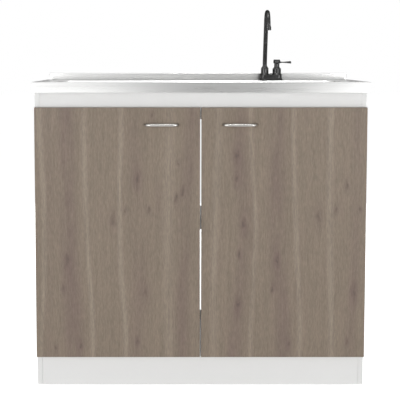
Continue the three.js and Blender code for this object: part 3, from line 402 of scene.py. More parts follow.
@shader_group(
    "Knot",
    {"X": 0.0, "Z": 0.0, "Middle": 0.0, "Level": 0.0, "Size": 0.004},
    {"Halo": FLOAT, "Eye": FLOAT, "Push": FLOAT},
)
def knot(graph, inputs):
    """One knot at a place on a door: a small dark eye in a tall soft halo."""
    side = inputs["X"] - inputs["Middle"]
    tall = (inputs["Z"] - inputs["Level"]) * KNOT_FLATTENED
    away = graph.math("SQRT", side * side + tall * tall)
    share = graph.math("DIVIDE", away, inputs["Size"])
    halo = graph.ramp(share, 0.0, HALO_REACH, 1.0, 0.0)
    eye = graph.ramp(share, 0.0, EYE_REACH, 1.0, 0.0)
    return [halo, eye, halo * side]


def total(masks):
    """The sum of (mask, strength) pairs."""
    result = 0.0
    for mask, strength in masks:
        result = mask * strength + result
    return result


def stripes(graph, x, share, rows):
    """The sum of a table of streaks, at a place along X and a share of the height."""
    masks = []
    for foot, lean, bulge, width, strength in rows:
        mask = streak(graph, X=x, Share=share, Foot=foot, Lean=lean, Bulge=bulge, Width=width)
        masks.append((mask["Mask"], strength))
    return total(masks)


@shader_group(
    "Oak Decor",
    {"Vector": VECTOR, "Ground": COLOUR, "Zone": COLOUR, "Streak": COLOUR, "Knot": COLOUR},
    {"Face": COLOUR, "Height": FLOAT, "Tone": FLOAT},
)
def oak_decor(graph, inputs):
    """Upright oak decor: fibres, mauve zones, pale streaks, knots and pores."""
    low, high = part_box("door_left")
    x, y, z = graph.split(inputs["Vector"])
    share = graph.ramp(z, low.z, high.z)
    drift = graph.noise(graph.joined(x * SWAY_TURNS[0], 0.0, z * SWAY_TURNS[1]))
    swayed = x + (drift - 0.5) * SWAY
    ragged = graph.noise(graph.scaled(inputs["Vector"], *RAGGED_TURNS)) - 0.5
    torn_x = x + ragged * RAGGED_SIDE
    torn_z = z + ragged * RAGGED_RISE

    halos, eyes, grained = [], [], swayed
    for middle, level, size in OAK_KNOTS:
        found = knot(graph, X=torn_x, Z=torn_z, Middle=middle, Level=level, Size=size)
        halos.append((found["Halo"], HALO_STRENGTH))
        eyes.append((found["Eye"], EYE_STRENGTH))
        grained = grained - found["Push"] * KNOT_PUSH

    def layer(across, along, detail, roughness, _):
        lines = graph.joined(grained * across, y * across, z * along)
        return graph.noise(lines, 1.0, detail, roughness)

    clouds, bands, flecks, threads = (layer(*row) for row in (CLOUDS, BANDS, FLECKS, THREADS))
    pores = graph.ramp(layer(*PORES), 0.66, 0.78)

    zones = stripes(graph, swayed, share, OAK_ZONES) * graph.ramp(clouds, 0.28, 0.55, 0.2, 1.2)
    zones = zones + graph.ramp(clouds, 0.55, 0.85, 0.0, 0.5)
    zones = graph.math("ADD", zones, total(halos), clamp=True)
    ground = graph.blend(zones, inputs["Ground"], inputs["Zone"])
    pale = stripes(graph, swayed, share, OAK_STREAKS) * graph.ramp(bands, 0.25, 0.6, 0.55, 1.0)
    ground = graph.blend(graph.math("MINIMUM", pale, 1.0), ground, inputs["Streak"])

    tone = 1.0
    for part, row in ((clouds, CLOUDS), (bands, BANDS), (flecks, FLECKS), (threads, THREADS)):
        tone = (part - 0.5) * row[-1] + tone
    toned = graph.blend(1.0, ground, graph.joined(tone, tone, tone), "MULTIPLY")
    dark = graph.math("ADD", total(eyes), pores * PORES[-1], clamp=True)
    face = graph.blend(dark, toned, inputs["Knot"])
    return [face, threads * 0.5 - pores, flecks - 0.5]


# ------------------------------------------------------------------ Materials
WHITE = (1.0, 1.0, 1.0, 1.0)
BLACK = (0.0, 0.0, 0.0, 1.0)
RUBBED_PALE = (0.9, 0.9, 0.9)  # what rubbed edges of zinc and plastic come near
RUBBED_BLACK = (0.09, 0.088, 0.085)
RUBBED_RUBBER = (0.05, 0.05, 0.05)
METAL_CREASE_SHADE = (0.008, 0.5)  # reach and strength of the painted shade in the creases of small metal parts
# strength of the painted shade in the creases of the sink and the handles
BRUSHED_CREASE_SHADE = 0.4
OAK_EDGE_SHADE = (0.002, 0.5)  # reach and strength of the painted shade along the doors' edges
OAK_ROUGHNESS = 0.56
OAK_DEPTH = 0.00012


def empty_graph(owner):
    """The emptied node tree of a material or world."""
    owner.use_nodes = True
    owner.node_tree.nodes.clear()
    return Graph(owner.node_tree)


def new_material(name, **constants):
    """A material with its Principled shader, whose even values stand on its own sockets."""
    material = bpy.data.materials.new(name)
    graph = empty_graph(material)
    shader = graph.node("ShaderNodeBsdfPrincipled", constants)
    graph.node("ShaderNodeOutputMaterial", {"Surface": Value(graph, shader.outputs[0])})
    place = graph.value("ShaderNodeTexCoord", output="Object")
    return material, graph, shader, place


def finish_surface(graph, shader, face, rough, height, depth):
    """Gives a shader its colour, roughness and bump."""
    normal = graph.value("ShaderNodeBump", {"Height": height, "Distance": depth})
    for name, value in (("Base Color", face), ("Roughness", rough), ("Normal", normal)):
        graph.feed(shader.inputs[name], value)


def with_alpha(rgb):
    """A colour setting as a node takes it."""
    return (*rgb, 1.0)


def shade(graph, rgb, tone, amount):
    """A colour made lighter and darker by a tone around zero."""
    level = tone * amount + 1.0
    return graph.blend(1.0, with_alpha(rgb), graph.joined(level, level, level), "MULTIPLY")


def crease_shaded(graph, face, reach, amount):
    """A colour with painted shade in the creases."""
    mask = crease_shade(graph, Reach=reach)["Mask"]
    return graph.blend(mask * amount, face, BLACK)


def even_finish(name, rgb, worn, roughness, grain, depth, mottle=0.06, reach=0.0006, **constants):
    """A plain finish: fine unevenness, wiped patches, edges that are rubbed towards worn, and on
    metal painted shade in the creases.
    """
    material, graph, shader, place = new_material(name, **constants)
    texture = fine_texture(graph, Vector=place, Size=grain)
    smudge = smudges(graph, Vector=place)["Mask"]
    edge = edge_wear_and_shade(graph, Reach=reach)["Mask"]
    rubbed = edge * graph.ramp(texture["Height"], 0.35, 0.6)
    face = graph.blend(rubbed, shade(graph, rgb, texture["Tone"], mottle), with_alpha(worn))
    # Metal gets painted shade in its creases.
    if constants.get("Metallic"):
        face = crease_shaded(graph, face, *METAL_CREASE_SHADE)
    rough = smudge * 0.07 + (texture["Tone"] * 0.2 + roughness)
    finish_surface(graph, shader, face, rough, texture["Height"], depth)
    return material


def brushed_finish(name, rgb, roughness, along, lines, depth, crease_shade_reach, **constants):
    """Metal brushed along X, with wiped patches and painted shade in the creases."""
    material, graph, shader, place = new_material(name, **constants)
    brush = brushing(graph, Vector=place, Along=along, Lines=lines)
    smudge = smudges(graph, Vector=place, Scale=5.0)["Mask"]
    # The brushed tone, with painted shade in the creases.
    face = crease_shaded(graph, shade(graph, rgb, brush["Tone"], 0.12), crease_shade_reach, BRUSHED_CREASE_SHADE)
    rough = smudge * 0.03 + (brush["Tone"] * 0.1 + roughness)
    finish_surface(graph, shader, face, rough, brush["Height"], depth)
    graph.feed(shader.inputs["Tangent"], graph.joined(1.0, 0.0, 0.0))
    return material


def oak_finish(finish):
    """The oak laminate of the doors, with painted shade along their edges."""
    material, graph, shader, place = new_material("oak_laminate")
    dark = with_alpha(finish.oak_knot)
    oak = oak_decor(
        graph,
        Vector=place,
        Ground=with_alpha(finish.oak),
        Zone=with_alpha(finish.oak_zone),
        Streak=with_alpha(finish.oak_streak),
        Knot=dark,
    )
    # Painted shade along the doors' edges, in the knot colour.
    reach, strength = OAK_EDGE_SHADE
    edge = edge_wear_and_shade(graph, Reach=reach)["Mask"]
    face = graph.blend(edge * strength, oak["Face"], dark)
    rough = oak["Tone"] * 0.3 + OAK_ROUGHNESS
    finish_surface(graph, shader, face, rough, oak["Height"], OAK_DEPTH)
    return material


def make_finishes(finish):
    """Every finish of the unit, by the record's slot."""
    return {
        "white_board": even_finish(
            "white_board", finish.board, finish.board_edge,
            roughness=0.42, grain=0.0011, depth=0.00003, reach=0.0012,
        ),
        "oak_door": oak_finish(finish),
        # The steel and the nickel get painted shade in their creases, as far as the given reach.
        "sink_steel": brushed_finish(
            "brushed_steel", finish.steel,
            roughness=0.28, along=5.0, lines=700.0, depth=0.00001, crease_shade_reach=0.03,
            Metallic=1.0, Anisotropic=0.8, **{"Anisotropic Rotation": 0.25},
        ),
        "handle_nickel": brushed_finish(
            "satin_nickel", finish.nickel,
            roughness=0.27, along=30.0, lines=2600.0, depth=0.000006, crease_shade_reach=0.012,
            Metallic=1.0, **{"Specular Tint": (0.3, 0.3, 0.3, 1.0)},
        ),
        "hinge_zinc": even_finish(
            "plated_zinc", finish.zinc, RUBBED_PALE,
            roughness=0.3, grain=0.0016, depth=0.00001, mottle=0.16, Metallic=1.0,
        ),
        "black_metal": even_finish(
            "black_satin", finish.black, RUBBED_BLACK,
            roughness=0.22, grain=0.0005, depth=0.000006, mottle=0.2, reach=0.0005,
            Metallic=1.0, **{"Specular Tint": (0.35, 0.35, 0.35, 1.0)},
        ),
        "white_plastic": even_finish(
            "moulded_plastic", finish.plastic, RUBBED_PALE,
            roughness=0.38, grain=0.0009, depth=0.00002,
        ),
        "black_rubber": even_finish(
            "soft_rubber", finish.rubber, RUBBED_RUBBER,
            roughness=0.72, grain=0.0007, depth=0.00004, mottle=0.3,
        ),
    }


finishes = {}


def finish_of(slot):
    """The finish of a slot. All finishes are made at the first call."""
    if not finishes:
        finishes.update(make_finishes(bpy.context.scene.sink_unit_finish))
    return finishes[slot]


# ------------------------------------------------------------------ CAD pieces
CREASE_ANGLE = math.radians(32)  # a sharper fold is shaded as an edge, and may get a bevel
FLAT_ANGLE = math.radians(0.6)  # facets that differ by less are one face
MERGE_REACH = 0.00001
BEVEL_STEPS = 2


def skin_group():
    """Geometry nodes that join a faceted solid's corners and shade it smooth between creases."""
    group = bpy.data.node_groups.get("Smooth Skin")
    if group:
        return group
    group = bpy.data.node_groups.new("Smooth Skin", "GeometryNodeTree")
    add_sockets(group, "INPUT", {"Geometry": GEOMETRY, "Crease": CREASE_ANGLE})
    add_sockets(group, "OUTPUT", {"Geometry": GEOMETRY})
    graph = Graph(group)
    entry = graph.outputs("NodeGroupInput")
    inputs = {"Geometry": entry["Geometry"], "Distance": MERGE_REACH}
    merged = graph.value("GeometryNodeMergeByDistance", inputs)
    smooth = graph.value("GeometryNodeSetShadeSmooth", {"Geometry": merged}, domain="FACE")
    angle = graph.value("GeometryNodeInputMeshEdgeAngle", output="Unsigned Angle")
    sharp = graph.math("GREATER_THAN", angle, entry["Crease"])
    inputs = {0: smooth, 1: sharp, 2: False}
    edged = graph.value("GeometryNodeSetShadeSmooth", inputs, domain="EDGE")
    graph.node("NodeGroupOutput", {0: edged})
    return group


def dress(name, slot, edge=0.0):
    """Gives a CAD node its finish, smooth shading and, where it has an edge, soft corners."""
    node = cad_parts[name]
    material = finish_of(slot)
    if not node.material_slots:
        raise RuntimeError(f"{name} has no material slot")
    for holder in node.material_slots:
        holder.link = "OBJECT"
        holder.material = material
    skin = node.modifiers.new("smooth_skin", "NODES")
    skin.node_group = skin_group()
    if edge > 0:
        flat = node.modifiers.new("flat_faces", "DECIMATE")
        flat.decimate_type = "DISSOLVE"
        flat.angle_limit = FLAT_ANGLE
        bevel = node.modifiers.new("soft_edges", "BEVEL")
        bevel.width = edge
        bevel.segments = BEVEL_STEPS
        bevel.limit_method = "ANGLE"
        bevel.angle_limit = CREASE_ANGLE
        bevel.harden_normals = True


# ------------------------------------------------------------------ New pieces
WELD = 0.000002  # points nearer than this are one
MOST_CUT = 0.49  # the most of a side that a fillet takes
OUTLINE_STEPS = 8  # in each corner of a rounded rectangle


def add_object(name, data):
    """A new object in the scene."""
    made = bpy.data.objects.new(name, data)
    bpy.context.scene.collection.objects.link(made)
    return made


def add_piece(name, mesh, slot, body, replaced):
    """An object of its own that rides on a body and stands for a CAD node."""
    for polygon in mesh.polygons:
        polygon.use_smooth = True
    mesh.materials.append(finish_of(slot))
    piece = add_object(name, mesh)
    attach(piece, body)
    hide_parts(replaced)


def mesh_of(name, points, faces):
    """A mesh with its doubled points joined and its faces turned out."""
    mesh = bpy.data.meshes.new(name)
    mesh.from_pydata(points, [], faces)
    form = bmesh.new()
    form.from_mesh(mesh)
    bmesh.ops.remove_doubles(form, verts=form.verts, dist=WELD)
    bmesh.ops.recalc_face_normals(form, faces=form.faces)
    form.to_mesh(mesh)
    form.free()
    return mesh


def bend(first, corner, last, steps):
    """Points of a soft bend from first to last, inside a corner."""
    points = []
    for step in range(steps + 1):
        share = step / steps
        points.append(first.lerp(corner, share).lerp(corner.lerp(last, share), share))
    return points


def rounded(corners):
    """A profile of (radius, level, fillet) corners as points, each corner a bend."""
    points = []
    for index, (x, z, fillet) in enumerate(corners):
        here = Vector((x, z))
        if fillet <= 0 or index in (0, len(corners) - 1):
            points.append(here)
            continue
        back = Vector(corners[index - 1][:2]) - here
        ahead = Vector(corners[index + 1][:2]) - here
        half = back.angle(ahead) / 2
        cut = min(fillet / math.tan(half), MOST_CUT * back.length, MOST_CUT * ahead.length)
        first = here + back.normalized() * cut
        last = here + ahead.normalized() * cut
        points += bend(first, here, last, shape().fillet_steps)
    return points


def skin_over(rows, caps=True, looped=False):
    """Points and faces of a skin over rings of points."""
    size = len(rows[0])
    points = [point for row in rows for point in row]
    faces = []
    for row in range(len(rows) - (0 if looped else 1)):
        low = row * size
        high = (row + 1) % len(rows) * size
        for side in range(size):
            after = (side + 1) % size
            faces.append((low + side, low + after, high + after, high + side))
    if caps:
        faces.append(tuple(range(size)))
        faces.append(tuple(range((len(rows) - 1) * size, len(rows) * size)))
    return points, faces


def turned_skin(corners, sides, centre):
    """Points and faces turned about an upright axis, from (radius, level, fillet) corners in
    millimetres. A profile that keeps off the axis closes on itself."""
    turns = [2 * math.pi * side / sides for side in range(sides)]
    rows = []
    for radius, level in rounded(corners):
        rows.append([
            centre + MM * Vector((radius * math.cos(turn), radius * math.sin(turn), level))
            for turn in turns
        ])
    return skin_over(rows, caps=False, looped=corners[0][0] > 0)


def shells(name, skins):
    """One mesh of several closed skins."""
    points, faces = [], []
    for more_points, more_faces in skins:
        start = len(points)
        points += [tuple(point) for point in more_points]
        faces += [tuple(start + index for index in face) for face in more_faces]
    return mesh_of(name, points, faces)


def swept(name, path, radius, sides, across, bore=0.0):
    """A bar, or a pipe where a bore is given, along a flat path. across is square to its plane."""

    def ring(index, reach):
        before = path[max(index - 1, 0)]
        after = path[min(index + 1, len(path) - 1)]
        side = (after - before).normalized().cross(across)
        for step in range(sides):
            angle = 2 * math.pi * step / sides
            yield path[index] + reach * (math.cos(angle) * across + math.sin(angle) * side)

    rows = [list(ring(index, radius)) for index in range(len(path))]
    if bore > 0:
        rows += [list(ring(index, bore)) for index in reversed(range(len(path)))]
    return mesh_of(name, *skin_over(rows, caps=bore <= 0, looped=bore > 0))


def outline(half_x, half_y, radius, level, centre):
    """A rounded rectangle as a ring of points."""
    points = []
    for corner, (sign_x, sign_y) in enumerate(((1, 1), (-1, 1), (-1, -1), (1, -1))):
        for step in range(OUTLINE_STEPS + 1):
            angle = (corner + step / OUTLINE_STEPS) * math.pi / 2
            x = sign_x * (half_x - radius) + radius * math.cos(angle)
            y = sign_y * (half_y - radius) + radius * math.sin(angle)
            points.append((centre[0] + x, centre[1] + y, level))
    return points


# ------------------------------------------------------------------ Cabinet
SIDES = ("left", "right")
LEVELS = ("lower", "upper")
ENDS = ("front", "rear")
WHITE_BOARDS = (
    "side_panel_left",
    "side_panel_right",
    "bottom_panel",
    "shelf",
    "front_rail",
    "plinth_board",
    "rear_top_rail",
    "rear_bottom_rail",
)


class Undoable:
    """What the operators share."""

    bl_options = {"REGISTER", "UNDO"}


class SINKUNIT_OT_boards(Undoable, bpy.types.Operator):
    """Finish the white boards of the carcass"""

    bl_idname = "sinkunit.boards"
    bl_label = "Carcass boards"

    def execute(self, context):
        for name in WHITE_BOARDS:
            dress(name, "white_board", shape().board_edge)
        return {"FINISHED"}


class SINKUNIT_OT_doors(Undoable, bpy.types.Operator):
    """Finish the oak doors"""

    bl_idname = "sinkunit.doors"
    bl_label = "Doors"

    def execute(self, context):
        for side in SIDES:
            dress(f"door_{side}", "oak_door", shape().door_edge)
        return {"FINISHED"}


HANDLE_SIDES = 32
HANDLE_BEND = 0.018  # how far a handle's corner reaches along its leg and its bar
HANDLE_BEND_STEPS = 10


class SINKUNIT_OT_handles(Undoable, bpy.types.Operator):
    """Make the bow handles"""

    bl_idname = "sinkunit.handles"
    bl_label = "Handles"

    def execute(self, context):
        for side in SIDES:
            low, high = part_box(f"handle_{side}")
            radius = (high.z - low.z) / 2
            level = (low.z + high.z) / 2
            left = Vector((low.x + radius, high.y, level))
            right = Vector((high.x - radius, high.y, level))
            path = self.bow(left, right, low.y + radius)
            mesh = swept(f"bow_{side}", path, radius, HANDLE_SIDES, Vector((0, 0, 1)))
            add_piece(f"bow_handle_{side}", mesh, "handle_nickel", f"door_{side}", f"handle_{side}")
        return {"FINISHED"}

    @staticmethod
    def bow(left, right, front):
        """Out along one leg, round a bend, along the bar, and back along the other leg."""
        path = [left]
        for foot, inward in ((left, 1), (right, -1)):
            corner = Vector((foot.x, front, foot.z))
            on_leg = corner + Vector((0, HANDLE_BEND, 0))
            on_bar = corner + Vector((inward * HANDLE_BEND, 0, 0))
            arc = bend(on_leg, corner, on_bar, HANDLE_BEND_STEPS)
            path += arc if inward > 0 else arc[::-1]
        path.append(right)
        return path


class SINKUNIT_OT_hinges(Undoable, bpy.types.Operator):
    """Finish the hinges, shelf pins, floor glides and handle screws"""

    bl_idname = "sinkunit.hinges"
    bl_label = "Hinges, pins, glides and screws"

    def execute(self, context):
        for side in SIDES:
            for level in LEVELS:
                for piece in ("cup", "arm", "plate"):
                    dress(f"hinge_{piece}_{side}_{level}", "hinge_zinc", shape().metal_edge)
            for end in ENDS:
                dress(f"shelf_pin_{side}_{end}", "hinge_zinc")
                dress(f"floor_glide_{side}_{end}", "white_plastic")
            for end in ("outer", "inner"):
                dress(f"handle_screw_{side}_{end}", "hinge_zinc")
        return {"FINISHED"}


# ------------------------------------------------------------------ Sink
class SINKUNIT_OT_sink(Undoable, bpy.types.Operator):
    """Finish the sink's deck and bowl"""

    bl_idname = "sinkunit.sink"
    bl_label = "Sink"

    def execute(self, context):
        dress("sink_deck", "sink_steel", shape().sheet_edge)
        dress("sink_bowl", "sink_steel")
        return {"FINISHED"}


WASTE_PLASTIC = (
    "waste_locknut",
    "tailpiece_nut",
    "tailpiece",
    "trap_inlet_nut",
    "trap_body",
    "trap_cup",
    "trap_outlet_nut",
    "trap_outlet_pipe",
)


class SINKUNIT_OT_waste(Undoable, bpy.types.Operator):
    """Finish the waste, its basket and the trap"""

    bl_idname = "sinkunit.waste"
    bl_label = "Waste and trap"

    def execute(self, context):
        for name in ("waste_body", "strainer_basket"):
            dress(name, "sink_steel")
        for name in ("waste_gasket", "basket_stopper"):
            dress(name, "black_rubber")
        for name in WASTE_PLASTIC:
            dress(name, "white_plastic", shape().metal_edge)
        return {"FINISHED"}


# ------------------------------------------------------------------ Tap
# Profiles are (radius, level, fillet) in millimetres, from the foot of their piece. In place of a
# radius, PLATE_EDGE has how far the plate steps in from its outline, and COLUMN_FLARE how far a
# column's side stands out.
PLATE_EDGE = ((0.0, 0.0, 0.0), (0.0, 3.4, 0.6), (2.3, 7.0, 2.0), (2.8, 17.2, 1.6), (5.2, 18.0, 0.0))
PLATE_CORNER = 14.0
COLUMN_FLARE = (
    (3.0, 0.0, 0.0),
    (2.0, 1.0, 1.0),
    (0.0, 3.6, 2.0),
    (0.0, 17.4, 0.5),
    (-0.6, 18.0, 0.0),
)
COLUMN_SINK = 1.0  # how far a column starts inside the plate
COLUMN_GAP = 0.3  # between a column's top and what stands on it
THREAD_PITCH = 1.5
THREAD_DEPTH = 0.6
THREADS_LEFT_OUT = 3  # under the plate, where the shank is plain
SHANK_SIDES = 32
SHANK_BORE = 6.0
SHANK_RADIUS = 10.3
AERATOR_SEAT = 7.5  # the level of the spout's end in the aerator
COLLAR = (
    (7.3, 0.0, 0.0),
    (12.4, 0.0, 0.5),
    (12.5, 2.2, 1.2),
    (9.3, 6.6, 2.0),
    (8.5, 9.0, 0.5),
    (7.3, 9.0, 0.0),
)
BONNET = (
    (4.2, 0.0, 0.0),
    (13.9, 0.0, 0.4),
    (14.0, 1.2, 0.6),
    (9.4, 5.2, 2.4),
    (8.7, 9.0, 2.0),
    (8.7, 17.0, 0.5),
    (4.2, 17.0, 0.0),
)
HUB = (
    (0.0, 8.4, 0.0),
    (4.2, 8.4, 0.0),
    (4.2, 0.0, 0.0),
    (8.7, 0.0, 0.3),
    (11.4, 3.0, 1.8),
    (11.5, 9.6, 2.0),
    (10.0, 14.0, 0.7),
    (5.2, 14.0, 0.3),
    (5.0, 13.2, 0.2),
    (4.4, 13.2, 0.2),
    (4.2, 13.8, 0.4),
    (0.0, 13.9, 0.0),
)
AERATOR = (
    (0.0, 5.2, 0.0),
    (5.2, 4.0, 0.6),
    (5.6, 2.6, 0.2),
    (6.6, 2.4, 0.2),
    (6.6, 0.0, 0.3),
    (8.3, 0.0, 0.6),
    (9.0, 1.0, 0.5),
    (9.0, 4.0, 0.2),
    (8.5, 4.4, 0.2),
    (8.5, 5.0, 0.2),
    (9.0, 5.4, 0.2),
    (9.0, 10.6, 0.4),
    (8.3, 11.4, 0.5),
    (7.2, 14.5, 0.3),
    (0.0, 14.5, 0.0),
)
# The lever: (distance from the hub's axis, half height, half width) along its length.
LEVER = (
    (9.5, 2.9, 3.0),
    (12.6, 2.7, 2.9),
    (15.5, 2.0, 2.2),
    (20.0, 1.8, 2.0),
    (26.0, 2.2, 2.3),
    (33.0, 2.9, 2.9),
    (40.0, 3.6, 3.5),
    (45.0, 4.0, 3.9),
    (46.8, 4.1, 3.9),
    (47.4, 3.6, 3.4),
)
LEVER_SLANT = 0.16  # how far its far end leans, for each unit of height
LEVER_SLANT_POWER = 3  # how late along its length the lean sets in
LEVER_LEVEL = 5.0
ARCH_RADIUS = 0.048
ARCH_STEPS = 40
NECK_STRAIGHT = 0.026
NECK_BEND = 0.011
NECK_BEND_STEPS = 8
PIPE_WALL = 0.0016


def middle_of(name):
    """A CAD node's upright axis at its foot."""
    low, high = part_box(name)
    return Vector(((low.x + high.x) / 2, (low.y + high.y) / 2, low.z))


def add_turned(name, corners, body, replaced):
    """A turned black piece in a CAD node's place."""
    skin = turned_skin(corners, shape().round_sides, middle_of(replaced))
    add_piece(name, mesh_of(name, *skin), "black_metal", body, replaced)


class SINKUNIT_OT_tap_body(Undoable, bpy.types.Operator):
    """Make the tap's base, collar and bonnet, and finish its gasket, nut and spindle"""

    bl_idname = "sinkunit.tap_body"
    bl_label = "Tap body"

    def execute(self, context):
        skins = [self.plate(), self.shank()]
        for name, profile in (("spout_collar", COLLAR), ("valve_bonnet", BONNET)):
            skins.append(self.column(middle_of(name), profile[2][0]))
        add_piece("tap_plate", shells("tap_plate", skins), "black_metal", "cabinet", "tap_base")
        add_turned("collar_ring", COLLAR, "cabinet", "spout_collar")
        add_turned("bonnet_dome", BONNET, "cabinet", "valve_bonnet")
        dress("tap_gasket", "black_rubber")
        dress("tap_backnut", "hinge_zinc", shape().metal_edge)
        dress("valve_spindle", "hinge_zinc")
        return {"FINISHED"}

    @staticmethod
    def plate():
        """The base plate, as rings that step in towards its top."""
        low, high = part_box("tap_base")
        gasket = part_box("tap_gasket")[1].z
        centre = (low + high) / 2
        half_x, half_y = (high.x - low.x) / 2, (high.y - low.y) / 2
        rows = []
        for inset, level in rounded(PLATE_EDGE):
            step_in = MM * inset
            radius = MM * PLATE_CORNER - step_in
            level = gasket + MM * level
            rows.append(outline(half_x - step_in, half_y - step_in, radius, level, centre))
        return skin_over(rows)

    @staticmethod
    def column(foot, radius):
        """A column that flares out onto the plate. Its top carries the collar or the bonnet."""
        height = COLUMN_FLARE[-1][1]
        profile = [(0.0, -COLUMN_SINK, 0.0), (radius + COLUMN_FLARE[0][0], -COLUMN_SINK, 0.0)]
        profile += [(radius + out, level, fillet) for out, level, fillet in COLUMN_FLARE]
        profile.append((0.0, height, 0.0))
        centre = foot - Vector((0, 0, MM * (height + COLUMN_GAP)))
        return turned_skin(profile, shape().round_sides, centre)

    @staticmethod
    def shank():
        """The threaded tube under the deck."""
        low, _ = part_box("tap_base")
        gasket_low, gasket_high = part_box("tap_gasket")
        centre = (gasket_low + gasket_high) / 2
        centre.z = low.z
        root = SHANK_RADIUS - THREAD_DEPTH
        height = (gasket_high.z - low.z) / MM + COLUMN_SINK
        corners = [(SHANK_BORE, 0.0, 0.0), (root, 0.0, 0.0)]
        level = THREAD_PITCH / 2
        while level < height - THREADS_LEFT_OUT * THREAD_PITCH:
            corners.append((SHANK_RADIUS, level, 0.0))
            corners.append((root, level + THREAD_PITCH / 2, 0.0))
            level += THREAD_PITCH
        corners += [(root, height, 0.0), (SHANK_BORE, height, 0.0)]
        return turned_skin(corners, SHANK_SIDES, centre)


class SINKUNIT_OT_spout(Undoable, bpy.types.Operator):
    """Make the swan-neck spout and its aerator"""

    bl_idname = "sinkunit.spout"
    bl_label = "Spout"

    def execute(self, context):
        low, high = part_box("spout")
        radius = (high.x - low.x) / 2
        path = self.path(low, high, radius)
        sides = shape().round_sides // 2
        mesh = swept("swan_neck", path, radius, sides, Vector((1, 0, 0)), radius - PIPE_WALL)
        add_piece("swan_neck", mesh, "black_metal", "spout", "spout")
        add_turned("aerator_cup", AERATOR, "spout", "aerator")
        return {"FINISHED"}

    @staticmethod
    def path(low, high, radius):
        """Up, round a slight bend, up a leaning neck, round the arch and down to the aerator."""
        x = (low.x + high.x) / 2
        rear = high.y - radius
        corner = Vector((x, rear, low.z + NECK_STRAIGHT + NECK_BEND))
        arch = Vector((x, low.y + radius + ARCH_RADIUS, high.z - radius - ARCH_RADIUS))
        off = corner - arch
        start = math.atan2(off.z, off.y) + math.acos(ARCH_RADIUS / off.length)
        tangent = arch + ARCH_RADIUS * Vector((0, math.cos(start), math.sin(start)))
        lean = (tangent - corner).normalized()
        first = corner - Vector((0, 0, NECK_BEND))
        path = [Vector((x, rear, low.z))]
        path += bend(first, corner, corner + NECK_BEND * lean, NECK_BEND_STEPS)
        for step in range(ARCH_STEPS + 1):
            angle = start + (math.pi - start) * step / ARCH_STEPS
            path.append(arch + ARCH_RADIUS * Vector((0, math.cos(angle), math.sin(angle))))
        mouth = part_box("aerator")[0].z + MM * AERATOR_SEAT
        path.append(Vector((x, low.y + radius, mouth)))
        return path


class SINKUNIT_OT_tap_handle(Undoable, bpy.types.Operator):
    """Make the tap's hub and lever"""

    bl_idname = "sinkunit.tap_handle"
    bl_label = "Tap handle"

    def execute(self, context):
        add_turned("hub_cap", HUB, "tap_handle", "handle_hub")
        hub = middle_of("handle_hub")
        sides = shape().round_sides // 2
        rows = []
        for reach, half_height, half_width in LEVER:
            rows.append([])
            for side in range(sides):
                turn = 2 * math.pi * side / sides
                rise = half_height * math.sin(turn)
                lean = -LEVER_SLANT * rise * (reach / LEVER[-1][0]) ** LEVER_SLANT_POWER
                place = Vector((reach + lean, half_width * math.cos(turn), LEVER_LEVEL + rise))
                rows[-1].append(hub + MM * place)
        mesh = mesh_of("flared_lever", *skin_over(rows))
        add_piece("flared_lever", mesh, "black_metal", "tap_handle", "handle_lever")
        return {"FINISHED"}


# ------------------------------------------------------------------ Studio
FLOOR_SIZE = 60.0
FLOOR_COLOUR = (0.88, 0.88, 0.88, 1.0)
FLOOR_GLOW = {"seen": 0.8, "mirrored": 0.55}  # what the floor adds to its own light
SENSOR = 36.0  # width of the camera's frame in millimetres
CARD_AWAY = 2.25  # a reflector card from the unit's middle
CARD_WIDTH = 3.4
CARD_HEIGHT = 2.4
FRONT_CARD_WIDTH = 4.0
FRONT_CARD_SIDE = 0.18
SHADED = (0.12, 1.0)  # where a card's light starts to grow, and where it is brightest
BACK_SHADED = (0.8, 1.6)
BACK_DARK = 0.2
CARD_FADE = (-0.5, -0.2)  # the levels, from a card's middle, between which its growth fades
CARD_FADE_TO = (1.4, 0.5)  # how strong the growth is under and over them
CEILING = {"height": 3.2, "width": 9.0, "dark": 0.42, "light": 0.9, "fade": (0.0, 4.0)}
SOFTBOX = {"height": 3.1, "width": 3.4, "depth": 2.2, "light": 2.1, "fade": (0.55, 0.9)}
SOFTBOX_OVAL = (0.6, 1.0, 0.0)  # how its light fades along X and Y
# Small bright cards. Rounded metal shows the upright pair as lines, and the level one near its top.
# left and right are turns from the front in degrees.
STRIP = {"left": -38, "right": 37.5, "away": 2.0, "level": 1.3}
STRIP_WIDTH = 0.22
STRIP_HEIGHT = 1.0
STRIP_LIGHT = 12.0
GLINT = {"place": (0.15, -0.3, 3.05), "width": 0.5, "light": 9.5}
LAMP_AWAY = 4.2
LAMP_HEIGHT = 1.0
LAMP_TARGET = Vector((0.0, 0.0, 0.6))
KEY_TURN = 33  # degrees from the front
KEY_HEIGHT = 1.15
KEY_SIZE = 0.9
KEY_SIDE = 0.18  # how far the pair of key lamps stands to the right
FILL_WIDTH = 2.8
SIDE_FILL_HEIGHT = 1.6
FRONT_FILL = {"away": 5.0, "level": 0.52, "height": 0.9}  # below the apron, so it casts no shade


def add_plane(name, width, height, material):
    """A level rectangle that only the stage needs."""
    mesh = bpy.data.meshes.new(name)
    x, y = width / 2, height / 2
    mesh.from_pydata([(-x, -y, 0), (x, -y, 0), (x, y, 0), (-x, y, 0)], [], [(0, 1, 2, 3)])
    mesh.materials.append(material)
    plane = add_object(name, mesh)
    return plane


def hide_from(item, *rays):
    """Makes an object unseen by kinds of rays."""
    for ray in rays:
        setattr(item, f"visible_{ray}", False)


def looked_at(graph):
    """1 for a ray from the camera, and 1 for a ray from gloss or through glass."""
    rays = graph.outputs("ShaderNodeLightPath")
    mirrored = graph.math("MAXIMUM", rays["Is Glossy Ray"], rays["Is Transmission Ray"])
    return rays["Is Camera Ray"], mirrored


